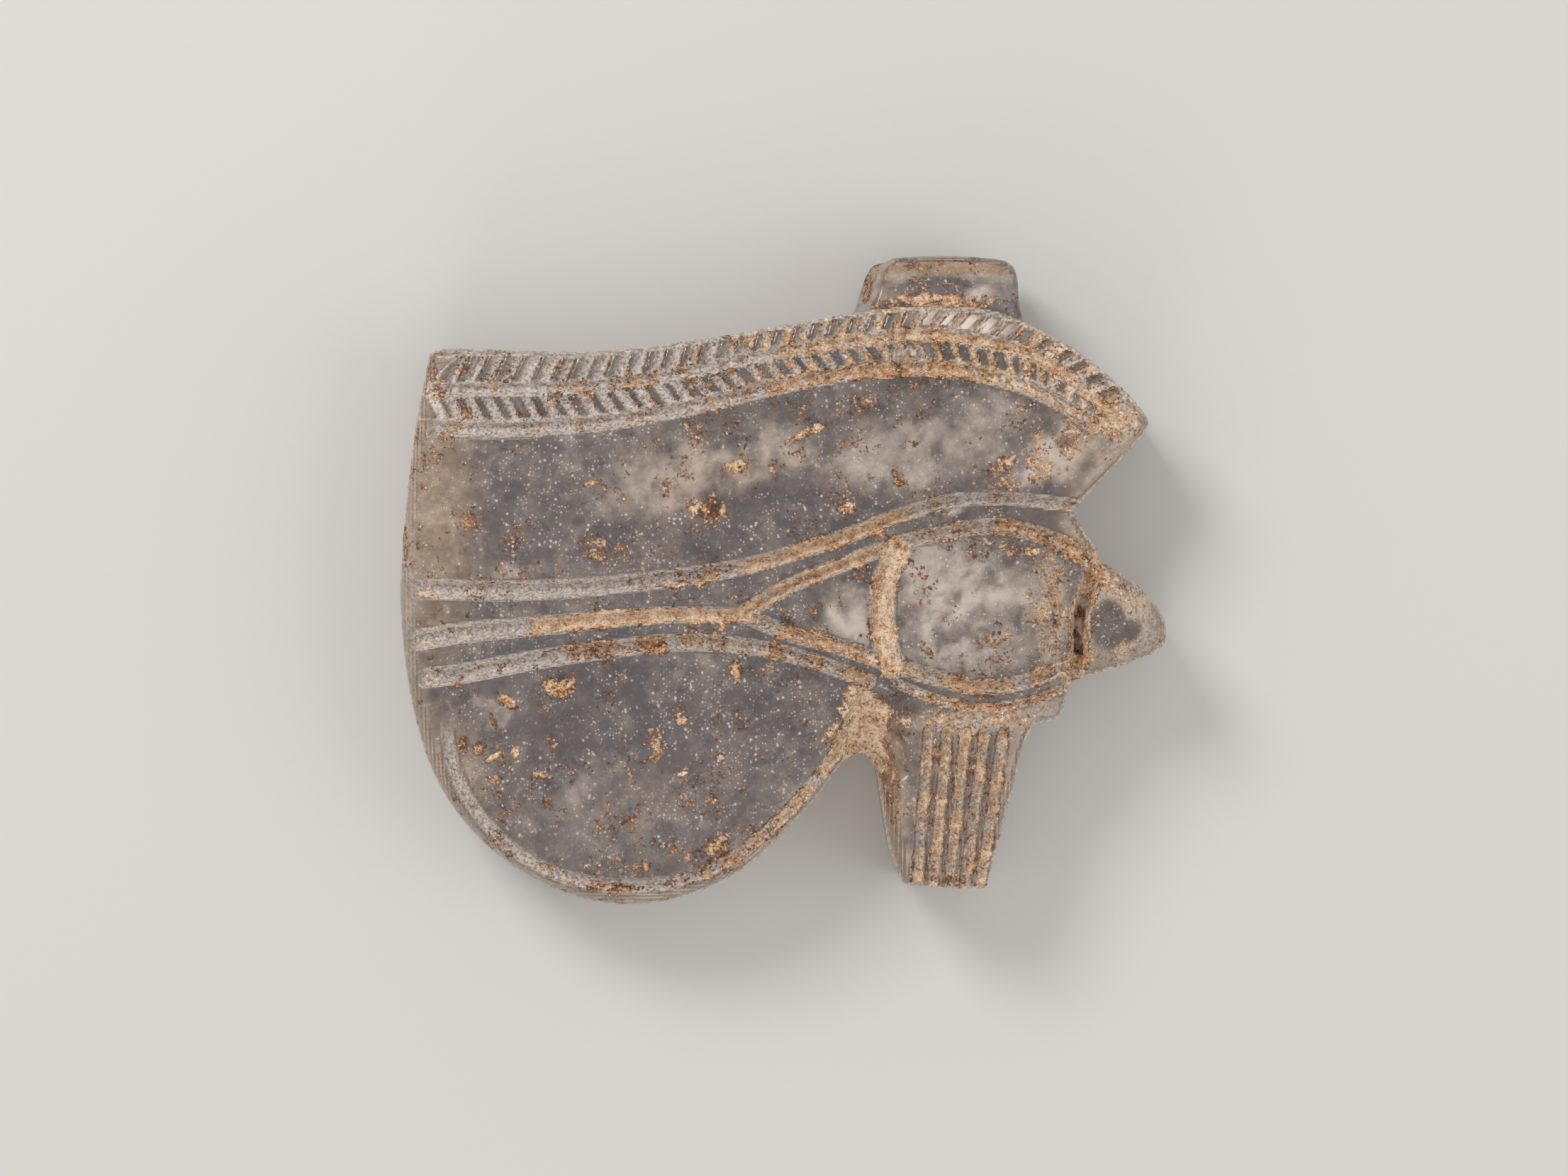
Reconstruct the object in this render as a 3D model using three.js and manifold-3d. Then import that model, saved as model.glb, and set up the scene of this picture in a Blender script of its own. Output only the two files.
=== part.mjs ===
// A wedjat eye amulet carved from one piece of rock crystal: the eye under its hatched brow, the corner
// piece at its right, the fluted tear, the loop that curls out to the left, and a pierced lug on top.
// Millimetres, +Z up. The amulet lies on its flat back with the carved face up, +X towards the corner
// piece and +Y towards the lug.

import * as THREE from "three";
import { mergeVertices } from "three/addons/utils/BufferGeometryUtils.js";
import Module from "manifold-3d";

const wasm = await Module();
wasm.setup();

// Driving dimensions of the stone
const LENGTH = 36; // left edge of the loop to the tip of the corner piece
const THICKNESS = 7.2; // flat back to the crest of the front
const DOME_DROP = 1.5; // how much lower the front is one dome radius away from its crest
const BACK_CHAMFER = 0.4;

// Rounding of the front edge, stretch by stretch: width in plan, then depth
const BROW_EDGE = { width: 0.4, depth: 0.6 };
const TIP_EDGE = { width: 0.6, depth: 0.9 };
const CORNER_EDGE = { width: 0.9, depth: 1.3 };
const BLOCK_EDGE = { width: 0.35, depth: 0.5 };
const TEAR_EDGE = { width: 0.45, depth: 0.8 };
const LOOP_EDGE = { width: 0.75, depth: 1.7 };
const TEAR_SIDE = { width: 1.5, footWidth: 0.5, depth: 2.4 };

// Suspension lug and its bore, which runs along X
const LUG_THICKNESS = 4.8;
const LUG_LEAN = 0.9; // how much further the left end reaches at the back than at the front
const LUG_BACK = 0.6; // height of the lug's back above the stone's back
const LUG_WALL = 0.72; // stone left between the bore and the lug's crest
const BORE_RADIUS = 0.75;

// Carved lines: width at the surface and depth
const BAND_LINE = { width: 0.62, depth: 0.45 };
const BROW_LINE = { width: 0.75, depth: 0.5 };
const FOLD_LINE = { width: 0.88, endWidth: 0.55, depth: 0.6 };
const LID_LINE = { width: 0.66, depth: 0.55 };
const STROKE_LINE = { width: 0.9, endWidth: 0.62, depth: 0.55 };
const LOWER_LINE = { width: 0.66, depth: 0.55 };
const LASH_LINE = { width: 0.4, depth: 0.3 };
const LOOP_LINE = { width: 0.85, endWidth: 0.6, depth: 0.55 };
const RIM_LINE = { width: 0.6, depth: 0.4 };
const IRIS_LINE = { width: 1.15, depth: 0.65 };
const IRIS_SLOT = { width: 0.35, depth: 0.25 };
const CORNER_SEAM = { width: 0.95, depth: 0.8 };
const CORNER_SLOT = { width: 0.5, depth: 1.6 };
const WHITE_SINK = [0, 0.4]; // depth of the white of the eye, from its corner to the iris
const WEB_SINK = [1, 2.4]; // depth of the web between loop and tear, from the eye to its lower edge
const FLANK_SINK = [0, 1.9]; // depth of the tear's flank beside the web, from the tear down to the web

// Hatching of the brow band, and the flutes of the tear
const HATCH_PITCH = 0.86;
const HATCH_WIDTH = 0.4;
const HATCH_DEPTH = 0.3;
const HATCH_SLANT = THREE.MathUtils.degToRad(27); // lean of a stroke from square across the band
const FLUTE_COUNT = 5;
const FLUTE_WIDTH = 0.5;
const FLUTE_DEPTH = 0.4;

// How finely curves are cut into straight runs
const RUN = 1.7;
const EDGE_FACETS = 3;
const DOME_SECTORS = 20;
const DOME_RINGS = 6;
const BORE_SIDES = 24;

const OUTSIDE = 0.05; // how far an edge cutter reaches past the outline, as a share of its width
const CLEAR = 1; // how far a cutter or a blank reaches past the stone
const LIFT = 0.3; // how far the sides of a cut are drawn on above the front
const OVERRUN = 0.03; // how far a cut runs past each end of its line

// Places on the face are in hundredths of the length, from the middle of the amulet's box.
const DOME_CENTRE = [4, 0];
const DOME_RADII = [56, 46];
const DOME_REACH = 1.3; // dome radii that the blank spans, so that it holds the whole outline

const OUTLINE = {
  browCorner: [[-46.4, 28.4], [-46.1, 29.5], [-45.2, 29.9]],
  brow: [
    [-45.2, 29.9], [-42.9, 30.2], [-33.6, 29.8], [-22.6, 29.8], [-9.6, 31.4], [0.6, 33.2], [8.9, 34.7],
    [18.1, 35.6], [26.4, 35.2], [32, 33.2], [38.4, 29.7], [44, 25.1], [47.3, 21.4],
  ],
  tip: [[47.3, 21.4], [47.7, 20.3], [47.1, 19.1]],
  underTip: [[47.1, 19.1], [43, 14.6], [38.8, 10.2]],
  notch: [[38.8, 10.2], [38.1, 8.9], [38.6, 7], [40.7, 4], [41.1, 2.6]],
  corner: [
    [41.1, 2.6], [45.8, -0.4], [49.2, -4.2], [50, -6.9], [49, -9.2], [44.9, -10.9], [37.4, -13.3],
  ],
  block: [[37.4, -13.3], [36.7, -15.2], [36.1, -17.5], [34.4, -18.4], [32.7, -18.8], [31.5, -20.8]],
  tearRight: [[31.5, -20.8], [29.9, -27], [28, -34.4], [26.6, -39.3]],
  tearFoot: [[26.6, -39.3], [25.8, -40.2], [16.7, -39.7], [15.3, -39]],
  tearLeft: [[15.3, -39], [13.8, -34.6], [12.8, -28.8], [12.2, -25.1], [10.9, -22.8]],
  arch: [[10.9, -22.8], [9.5, -22.6], [7.8, -23.6]],
  loop: [
    [7.8, -23.6], [3.3, -29.6], [-4.1, -36.9], [-11.5, -40.9], [-19.8, -42.5], [-28.1, -41.1],
    [-37.3, -36], [-44.3, -28], [-48.2, -17.7], [-50, -3.9], [-49.4, 8.6], [-47.9, 21.1], [-46.4, 28.4],
  ],
};

const LUG = [
  [5.6, 31.2], [6.3, 33.9], [8.5, 34.8], [9.6, 36], [10.4, 38.4], [11.3, 40.7], [12.9, 41.9],
  [20, 42.5], [27.4, 42.1], [29.8, 41.3], [30.6, 39.4], [30.8, 35.9], [31.3, 33.9], [32, 31.2],
];

const LINES = {
  band: [
    [-46.2, 24.7], [-37.3, 24.8], [-26.2, 25.1], [-18.9, 25.8], [-9.6, 27.5], [-0.4, 29.5],
    [8.9, 30.9], [18.1, 31.8], [25.5, 31], [32, 29.4], [37.5, 25.9], [42.9, 21.1],
  ],
  brow: [
    [-46.2, 19.8], [-37.3, 19.5], [-26.2, 20.1], [-18.9, 21], [-9.6, 22.9], [-0.4, 25.1],
    [8.9, 26.8], [17.2, 27.5], [23.7, 27], [31.1, 25.2], [36.6, 22.6], [40.3, 20],
  ],
  fold: [
    [-49, -1], [-37.3, -1.4], [-26.2, -1], [-15.2, 0.1], [-5.9, 1.5], [1.5, 3.5], [8.9, 5.9],
    [16.3, 8.7], [22.7, 10.3], [30.1, 10.4], [37.9, 9.6],
  ],
  lid: [
    [-4.8, -4.1], [0.6, -0.9], [7, 1.7], [13.5, 4.2], [20, 5.9], [26.9, 6.9], [32, 6.2],
    [36.1, 4.6], [39.6, 2.4],
  ],
  stroke: [[-49, -8.1], [-42, -6.9], [-33.6, -6.1], [-24.4, -5.3], [-15.2, -4.6], [-4.8, -4.6]],
  lower: [
    [-4.8, -4.6], [0.6, -6.9], [7, -8.6], [13.5, -10.8], [20, -12.8], [26, -13.9], [32, -13],
    [37.2, -10.9],
  ],
  lash: [[14.6, -13.3], [19, -15.2], [25, -16.6], [31.1, -15.9], [36.6, -14]],
  loop: [
    [-48.2, -13], [-41, -12], [-31.8, -10.3], [-22.6, -9], [-13.3, -8.1], [-5, -8.6],
    [2.4, -10.1], [11.2, -13.1],
  ],
  rim: [
    [-43.8, -16.1], [-43.5, -20.5], [-42, -26.5], [-36.9, -33.5], [-29.5, -38.3], [-20.2, -39.9],
    [-11.5, -38.5], [-4.1, -34.4], [2.9, -27.7], [7.2, -21.6], [10.4, -14.5],
  ],
  iris: [[14.6, 3.3], [13.2, -0.2], [12.8, -4.1], [13.2, -8], [14.2, -11.1]],
  irisSlot: [[34.8, -1], [35.3, -3.4], [35.2, -5.8]],
  seam: [[41.1, 2.6], [39.4, -1.8], [38.5, -5.2], [38.5, -9.2], [37.4, -13.4]],
  seamSlot: [[39.2, -2.6], [38.5, -5.6], [38.4, -9.2]],
};

const WHITE = [[-3.4, -4.3], [12.4, -9.8], [12.6, 2.6]];
const WHITE_ROOT = [12.5, -4.3];
const WEB = [[7.4, -24.6], [12.8, -24.6], [13.3, -20], [14.2, -15.6], [11.6, -14.4], [9.8, -18.5]];
const WEB_HEAD = [12.5, -15];
const WEB_FOOT = [11, -24];
const LOOP_SIDE = [[11.6, -14.4], [9.8, -18.5], [7.8, -23.6]];
const TEAR_FLANK = [[12.2, -25.1], [16.2, -25.1], [16.6, -19], [14.2, -15.6], [13.2, -20]];
const FLANK_CREST = [16.4, -22];
const FLANK_FOOT = [12.6, -22.5];
const FLUTE_TOP = [[18.9, -19.6], [28.5, -20.1]];
const FLUTE_FOOT = [[17.4, -40.6], [25.6, -40.8]];

// A place on the face in millimetres.
function spot([x, y]) {
  return new THREE.Vector2(x, y).multiplyScalar(LENGTH / 100);
}

// A smooth line through places on the face.
function line(places) {
  return new THREE.SplineCurve(places.map(spot));
}

// How many straight runs a line is cut into: at least two between each of its places.
function runs(path) {
  const least = path.points ? 2 * (path.points.length - 1) : 1;
  return Math.max(least, Math.round(path.getLength() / RUN));
}

// A closed three.js surface as a solid that can be joined and cut.
function solid(geometry) {
  const bare = geometry.clone();
  bare.deleteAttribute("normal");
  bare.deleteAttribute("uv");
  const merged = mergeVertices(bare, 1e-5);
  return new wasm.Manifold(
    new wasm.Mesh({
      numProp: 3,
      vertProperties: merged.getAttribute("position").array,
      triVerts: new Uint32Array(merged.index.array),
    }),
  );
}

// Height of the domed front: it falls away from its crest with the square of the distance.
function front(x, y) {
  const crest = spot(DOME_CENTRE);
  const radii = spot(DOME_RADII);
  const share = ((x - crest.x) / radii.x) ** 2 + ((y - crest.y) / radii.y) ** 2;
  return THICKNESS - DOME_DROP * share;
}

// The blank under the domed front.
function domeBody() {
  const profile = [new THREE.Vector2(0, -CLEAR), new THREE.Vector2(DOME_REACH, -CLEAR)];
  for (let i = DOME_RINGS; i >= 0; i -= 1) {
    const share = (DOME_REACH * i) / DOME_RINGS;
    profile.push(new THREE.Vector2(share, THICKNESS - DOME_DROP * share ** 2));
  }
  const crest = spot(DOME_CENTRE);
  const radii = spot(DOME_RADII);
  const dome = new THREE.LatheGeometry(profile, DOME_SECTORS);
  dome.rotateX(Math.PI / 2);
  dome.scale(radii.x, radii.y, 1);
  dome.translate(crest.x, crest.y, 0);
  return solid(dome);
}

// A plan shape from the back up past the front.
function slab(places) {
  return solid(
    new THREE.ExtrudeGeometry(new THREE.Shape(places), {
      depth: THICKNESS + CLEAR,
      bevelEnabled: false,
    }),
  );
}

// A profile carried along a line. Across the line it is scaled by the width there, and its heights
// are counted from the ground, which is a height for each place.
function sweep(profile, path, widthAt, ground) {
  const body = new THREE.ExtrudeGeometry(new THREE.Shape(profile), {
    depth: 1,
    steps: runs(path),
    bevelEnabled: false,
  });
  const place = body.getAttribute("position");
  for (let i = 0; i < place.count; i += 1) {
    const share = place.getZ(i);
    const along = path.getTangentAt(share);
    const middle = path.getPointAt(share).addScaledVector(along, OVERRUN * (2 * share - 1));
    const across = place.getX(i) * widthAt(share);
    const x = middle.x - along.y * across;
    const y = middle.y + along.x * across;
    place.setXYZ(i, x, y, ground(x, y) + place.getY(i));
  }
  return solid(body);
}

// The cutter of a carved line: a channel with sloping sides and a narrow floor.
function channel(path, { width, endWidth = width, depth }) {
  const floor = 0.2;
  const mouth = 0.5 + ((0.5 - floor) * LIFT) / depth;
  const profile = [
    new THREE.Vector2(-mouth, LIFT),
    new THREE.Vector2(-floor, -depth),
    new THREE.Vector2(floor, -depth),
    new THREE.Vector2(mouth, LIFT),
  ];
  return sweep(profile, path, (share) => THREE.MathUtils.lerp(width, endWidth, share), front);
}

// The cutter that rounds the front edge along a stretch of the outline, with the stone on its right.
function frontEdge(path, { width, footWidth = width, depth }) {
  const round = Array.from({ length: EDGE_FACETS + 1 }, (_, i) => {
    const turn = (Math.PI / 2) * (i / EDGE_FACETS);
    return new THREE.Vector2(Math.cos(turn) - 1, depth * (Math.sin(turn) - 1));
  });
  const above = round[EDGE_FACETS].clone().multiplyScalar(2).sub(round[EDGE_FACETS - 1]);
  const profile = [
    new THREE.Vector2(OUTSIDE, -depth),
    new THREE.Vector2(OUTSIDE, above.y),
    above,
    ...round.slice(0, EDGE_FACETS).reverse(),
  ];
  return sweep(profile, path, (share) => THREE.MathUtils.lerp(footWidth, width, share), front);
}

// The cutter that takes the sharp arris off the back edge along a stretch of the outline.
function backEdge(path) {
  const profile = [
    new THREE.Vector2(OUTSIDE, BACK_CHAMFER),
    new THREE.Vector2(0, BACK_CHAMFER),
    new THREE.Vector2(-1, 0),
    new THREE.Vector2(-1, -CLEAR),
    new THREE.Vector2(OUTSIDE, -CLEAR),
  ];
  return sweep(profile, path, () => BACK_CHAMFER, () => 0);
}

// One V-shaped cut between two places.
function cut(from, to, width, depth) {
  const mouth = 0.5 + (0.5 * LIFT) / depth;
  const profile = [
    new THREE.Vector2(-mouth, LIFT),
    new THREE.Vector2(0, -depth),
    new THREE.Vector2(mouth, LIFT),
  ];
  return sweep(profile, new THREE.LineCurve(from, to), () => width, front);
}

// How far a place is from a line.
function gap(place, path) {
  return Math.min(...path.getSpacedPoints(8 * runs(path)).map((other) => other.distanceTo(place)));
}

// A row of slanting cuts between two lines that run side by side, on the left of the inner line if
// side is 1 and on its right if side is -1. The reach is how far a cut starts and ends between them.
function hatchRow(inner, outer, side, reach) {
  const count = Math.floor(inner.getLength() / HATCH_PITCH);
  return Array.from({ length: count - 1 }, (_, i) => {
    const share = (i + 1) / count;
    const foot = inner.getPointAt(share);
    const turn = side * (Math.PI / 2 - HATCH_SLANT);
    const stroke = inner.getTangentAt(share).rotateAround(new THREE.Vector2(), turn);
    const length = gap(foot, outer) / Math.cos(HATCH_SLANT);
    const [from, to] = reach.map((part) => foot.clone().addScaledVector(stroke, part * length));
    return cut(from, to, HATCH_WIDTH, HATCH_DEPTH);
  });
}

// The flutes of the tear, spread evenly between its two sides.
function flutes() {
  const [topLeft, topRight] = FLUTE_TOP.map(spot);
  const [footLeft, footRight] = FLUTE_FOOT.map(spot);
  return Array.from({ length: FLUTE_COUNT }, (_, i) => {
    const share = i / Math.max(1, FLUTE_COUNT - 1);
    const top = topLeft.clone().lerp(topRight, share);
    const foot = footLeft.clone().lerp(footRight, share);
    return cut(top, foot, FLUTE_WIDTH, FLUTE_DEPTH);
  });
}

// The cutter of a sunk facet: its floor falls from the first depth at one place to the second depth
// at another.
function sunk(places, from, to, [shallow, deep]) {
  const start = spot(from);
  const fall = spot(to).sub(start);
  const body = new THREE.ExtrudeGeometry(new THREE.Shape(places.map(spot)), {
    depth: 1,
    bevelEnabled: false,
  });
  const place = body.getAttribute("position");
  for (let i = 0; i < place.count; i += 1) {
    const here = new THREE.Vector2(place.getX(i), place.getY(i));
    const share = here.clone().sub(start).dot(fall) / fall.lengthSq();
    const height = place.getZ(i) > 0.5 ? CLEAR : -THREE.MathUtils.lerp(shallow, deep, share);
    place.setZ(i, front(here.x, here.y) + height);
  }
  return solid(body);
}

// The lug: its outline from the front, and a rounded crest seen from its ends.
function lug() {
  const places = new THREE.SplineCurve(LUG.map(spot)).getSpacedPoints(2 * LUG.length);
  const crest = spot(LUG[7]).y;
  const foot = spot(LUG[0]).y;
  const radius = LUG_THICKNESS / 2;
  const section = new THREE.Shape();
  section.moveTo(foot - CLEAR, 0);
  section.lineTo(crest - radius, 0);
  section.absarc(crest - radius, radius, radius, -Math.PI / 2, Math.PI / 2, false);
  section.lineTo(foot - CLEAR, LUG_THICKNESS);
  const left = spot(LUG[0]).x - CLEAR;
  const right = spot(LUG[LUG.length - 1]).x + CLEAR;
  const blank = new THREE.ExtrudeGeometry(new THREE.Shape(places.reverse()), {
    depth: LUG_THICKNESS,
    bevelEnabled: false,
  });
  const place = blank.getAttribute("position");
  for (let i = 0; i < place.count; i += 1) {
    const leans = place.getX(i) < (left + right) / 2;
    place.setX(i, place.getX(i) + (leans ? (LUG_LEAN * place.getZ(i)) / LUG_THICKNESS : 0));
  }
  blank.translate(0, 0, LUG_BACK);
  const bar = new THREE.ExtrudeGeometry(section, {
    depth: right - left,
    curveSegments: 12,
    bevelEnabled: false,
  });
  bar.applyMatrix4(new THREE.Matrix4().set(0, 0, 1, left, 1, 0, 0, 0, 0, 1, 0, LUG_BACK, 0, 0, 0, 1));
  return solid(blank).intersect(solid(bar));
}

// The bore through the lug.
function bore() {
  const left = spot(LUG[0]).x - CLEAR;
  const right = spot(LUG[LUG.length - 1]).x + CLEAR;
  const hole = new THREE.CylinderGeometry(BORE_RADIUS, BORE_RADIUS, right - left, BORE_SIDES);
  hole.rotateZ(Math.PI / 2);
  hole.translate(
    (left + right) / 2,
    spot(LUG[7]).y - LUG_WALL - BORE_RADIUS,
    LUG_BACK + LUG_THICKNESS / 2,
  );
  return solid(hole);
}

// The whole amulet: the stone under its dome, its edges rounded, the lug joined on and pierced, and
// then the carved lines, the hatching and the flutes cut in.
function amulet() {
  const edges = Object.fromEntries(
    Object.entries(OUTLINE).map(([name, places]) => [name, line(places)]),
  );
  const lines = Object.fromEntries(
    Object.entries(LINES).map(([name, places]) => [name, line(places)]),
  );
  const rounding = [
    frontEdge(edges.browCorner, BROW_EDGE),
    frontEdge(edges.brow, BROW_EDGE),
    frontEdge(edges.tip, TIP_EDGE),
    frontEdge(edges.underTip, TIP_EDGE),
    frontEdge(edges.notch, BLOCK_EDGE),
    frontEdge(edges.corner, CORNER_EDGE),
    frontEdge(edges.block, BLOCK_EDGE),
    frontEdge(edges.tearRight, TEAR_EDGE),
    frontEdge(edges.tearFoot, BLOCK_EDGE),
    frontEdge(edges.tearLeft, TEAR_SIDE),
    frontEdge(edges.loop, LOOP_EDGE),
    ...Object.values(edges).map(backEdge),
  ];
  const carving = [
    channel(lines.band, BAND_LINE),
    channel(lines.brow, BROW_LINE),
    channel(lines.fold, FOLD_LINE),
    channel(lines.lid, LID_LINE),
    channel(lines.stroke, STROKE_LINE),
    channel(lines.lower, LOWER_LINE),
    channel(lines.lash, LASH_LINE),
    channel(lines.loop, LOOP_LINE),
    channel(lines.rim, RIM_LINE),
    channel(lines.iris, IRIS_LINE),
    channel(lines.irisSlot, IRIS_SLOT),
    channel(lines.seam, CORNER_SEAM),
    channel(lines.seamSlot, CORNER_SLOT),
    sunk(WHITE, WHITE[0], WHITE_ROOT, WHITE_SINK),
    sunk(WEB, WEB_HEAD, WEB_FOOT, WEB_SINK),
    sunk(TEAR_FLANK, FLANK_CREST, FLANK_FOOT, FLANK_SINK),
    frontEdge(line(LOOP_SIDE), LOOP_EDGE),
    ...hatchRow(lines.band, edges.brow, 1, [0.2, 0.84]),
    ...hatchRow(lines.band, lines.brow, -1, [0.2, 0.76]),
    ...flutes(),
  ];
  const plan = Object.values(edges).flatMap((path) => path.getSpacedPoints(runs(path)).slice(1));
  const join = (whole, piece) => whole.add(piece);
  return slab(plan.reverse())
    .intersect(domeBody())
    .subtract(rounding.reduce(join))
    .add(lug())
    .subtract(bore())
    .subtract(carving.reduce(join));
}

const crystal = new THREE.MeshStandardMaterial({
  color: "#b9aca4",
  roughness: 0.22,
  metalness: 0,
  transparent: true,
  opacity: 0.7,
});

function meshOf(body, name, material) {
  const { numProp, vertProperties, triVerts } = body.getMesh();
  const geometry = new THREE.BufferGeometry();
  geometry.setAttribute("position", new THREE.BufferAttribute(vertProperties, numProp));
  geometry.setIndex(new THREE.BufferAttribute(triVerts, 1));
  geometry.computeVertexNormals();
  const mesh = new THREE.Mesh(geometry, material);
  mesh.name = name;
  return mesh;
}

const group = new THREE.Group();
const eye = meshOf(amulet(), "wedjat_eye", crystal);
eye.geometry.computeBoundingBox();
const middle = eye.geometry.boundingBox.getCenter(new THREE.Vector3());
eye.position.set(-middle.x, -middle.y, 0);
group.add(eye);

export default group;
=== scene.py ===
"""A wedjat eye amulet of rock crystal, lying on its flat back.

The stone is one closed surface whose carved front is a height over the face: a low dome, less the
rounding of its edges, the carved lines, the hatching of the brow, the flutes of the tear and the
sunk facets. The ground of the cuts is frosted, haze dulls the open face, burial crust clings in the
cuts and in patches, and milky veils and specks are sealed in the stone.
"""

import functools
import math

import bpy
import numpy as np
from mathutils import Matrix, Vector
from mathutils.geometry import delaunay_2d_cdt


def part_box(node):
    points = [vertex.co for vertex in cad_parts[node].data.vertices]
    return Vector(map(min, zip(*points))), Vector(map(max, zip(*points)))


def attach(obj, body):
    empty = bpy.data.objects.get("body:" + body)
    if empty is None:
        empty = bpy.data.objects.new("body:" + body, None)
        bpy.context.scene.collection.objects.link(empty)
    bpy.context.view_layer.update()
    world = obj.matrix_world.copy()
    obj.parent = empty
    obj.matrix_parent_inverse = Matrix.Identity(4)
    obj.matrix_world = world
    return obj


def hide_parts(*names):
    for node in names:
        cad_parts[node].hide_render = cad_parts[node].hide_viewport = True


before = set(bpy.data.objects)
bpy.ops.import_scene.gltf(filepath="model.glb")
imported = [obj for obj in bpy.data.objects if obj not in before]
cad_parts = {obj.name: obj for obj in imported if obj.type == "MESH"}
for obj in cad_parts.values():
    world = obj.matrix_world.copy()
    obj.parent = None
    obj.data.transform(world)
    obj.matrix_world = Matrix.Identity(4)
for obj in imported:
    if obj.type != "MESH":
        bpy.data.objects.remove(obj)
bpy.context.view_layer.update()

bl_info = {
    "name": "Rock crystal wedjat eye",
    "version": (1, 0, 0),
    "blender": (4, 5, 0),
    "location": "View3D > Sidebar > Amulet",
    "description": "Builds a carved rock crystal eye amulet with its frost, crust and veils",
    "category": "Object",
}

# The stone, from the frame. Lengths are in millimetres, places in hundredths of the stone's length.
STONE = "wedjat_eye"
BODY = "root"
MM = 0.001
LOWEST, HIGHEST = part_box(STONE)
LENGTH = (HIGHEST.x - LOWEST.x) / MM
THICKNESS = (HIGHEST.z - LOWEST.z) / MM
HUNDREDTH = LENGTH / 100

# The domed front
DOME_DROP = 1.5  # how much lower the front is at the dome's radii than at its centre
DOME_CENTRE = (4, 0)
DOME_RADII = (56, 46)

# The outline, clockwise from the brow's left corner: places, then the width and depth of the
# rounding of the front edge at the start of the stretch and at its end
OUTLINE = (
    ([(-46.4, 28.4), (-46.1, 29.5), (-45.2, 29.9)], (0.4, 0.6), (0.4, 0.6)),
    ([(-45.2, 29.9), (-42.9, 30.2), (-33.6, 29.8), (-22.6, 29.8), (-9.6, 31.4), (0.6, 33.2),
      (8.9, 34.7), (18.1, 35.6), (26.4, 35.2), (32, 33.2), (38.4, 29.7), (44, 25.1),
      (47.3, 21.4)], (0.4, 0.6), (0.4, 0.6)),
    ([(47.3, 21.4), (47.7, 20.3), (47.1, 19.1)], (0.6, 0.9), (0.6, 0.9)),
    ([(47.1, 19.1), (43, 14.6), (38.8, 10.2)], (0.6, 0.9), (0.6, 0.9)),
    ([(38.8, 10.2), (38.1, 8.9), (38.6, 7), (40.7, 4), (41.1, 2.6)], (0.35, 0.5), (0.35, 0.5)),
    ([(41.1, 2.6), (45.8, -0.4), (49.2, -4.2), (50, -6.9), (49, -9.2), (44.9, -10.9),
      (37.4, -13.3)], (0.9, 1.3), (0.9, 1.3)),
    ([(37.4, -13.3), (36.7, -15.2), (36.1, -17.5), (34.4, -18.4), (32.7, -18.8),
      (31.5, -20.8)], (0.35, 0.5), (0.35, 0.5)),
    ([(31.5, -20.8), (29.9, -27), (28, -34.4), (26.6, -39.3)], (0.45, 0.8), (0.45, 0.8)),
    ([(26.6, -39.3), (25.8, -40.2), (16.7, -39.7), (15.3, -39)], (0.35, 0.5), (0.35, 0.5)),
    ([(15.3, -39), (13.8, -34.6), (12.8, -28.8), (12.2, -25.1), (10.9, -22.8)],
     (0.5, 2.4), (1.5, 2.4)),
    ([(10.9, -22.8), (9.5, -22.6), (7.8, -23.6)], (0.2, 0.3), (0.2, 0.3)),
    ([(7.8, -23.6), (3.3, -29.6), (-4.1, -36.9), (-11.5, -40.9), (-19.8, -42.5),
      (-28.1, -41.1), (-37.3, -36), (-44.3, -28), (-48.2, -17.7), (-50, -3.9), (-49.4, 8.6),
      (-47.9, 21.1), (-46.4, 28.4)], (0.75, 1.7), (0.75, 1.7)),
)
BACK_INSET = 0.14  # how far the back's edge is drawn in
BACK_ROUND = 0.4  # height of the rounding of the back's edge

# The lug and its bore
LUG = [(5.6, 31.2), (6.3, 33.9), (8.5, 34.8), (9.6, 36), (10.4, 38.4), (11.3, 40.7),
       (12.9, 41.9), (20, 42.5), (27.4, 42.1), (29.8, 41.3), (30.6, 39.4), (30.8, 35.9),
       (31.3, 33.9), (32, 31.2)]
LUG_CREST = 42.5
LUG_THICKNESS = 4.8
LUG_LEAN = 0.9  # how far the left end leans in over the lug's thickness
LUG_BACK = 0.6  # height of the lug's back above the stone's back
LUG_WALL = 0.72  # stone left between the bore and the crest
LUG_FLAT = 0.22  # how much of the half-round crest is flattened
LUG_EDGE = (0.3, 0.35)
LUG_STEP = 0.2  # how far the leaning end's foot stands above the lug's back
BORE_RADIUS = 0.75

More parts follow.
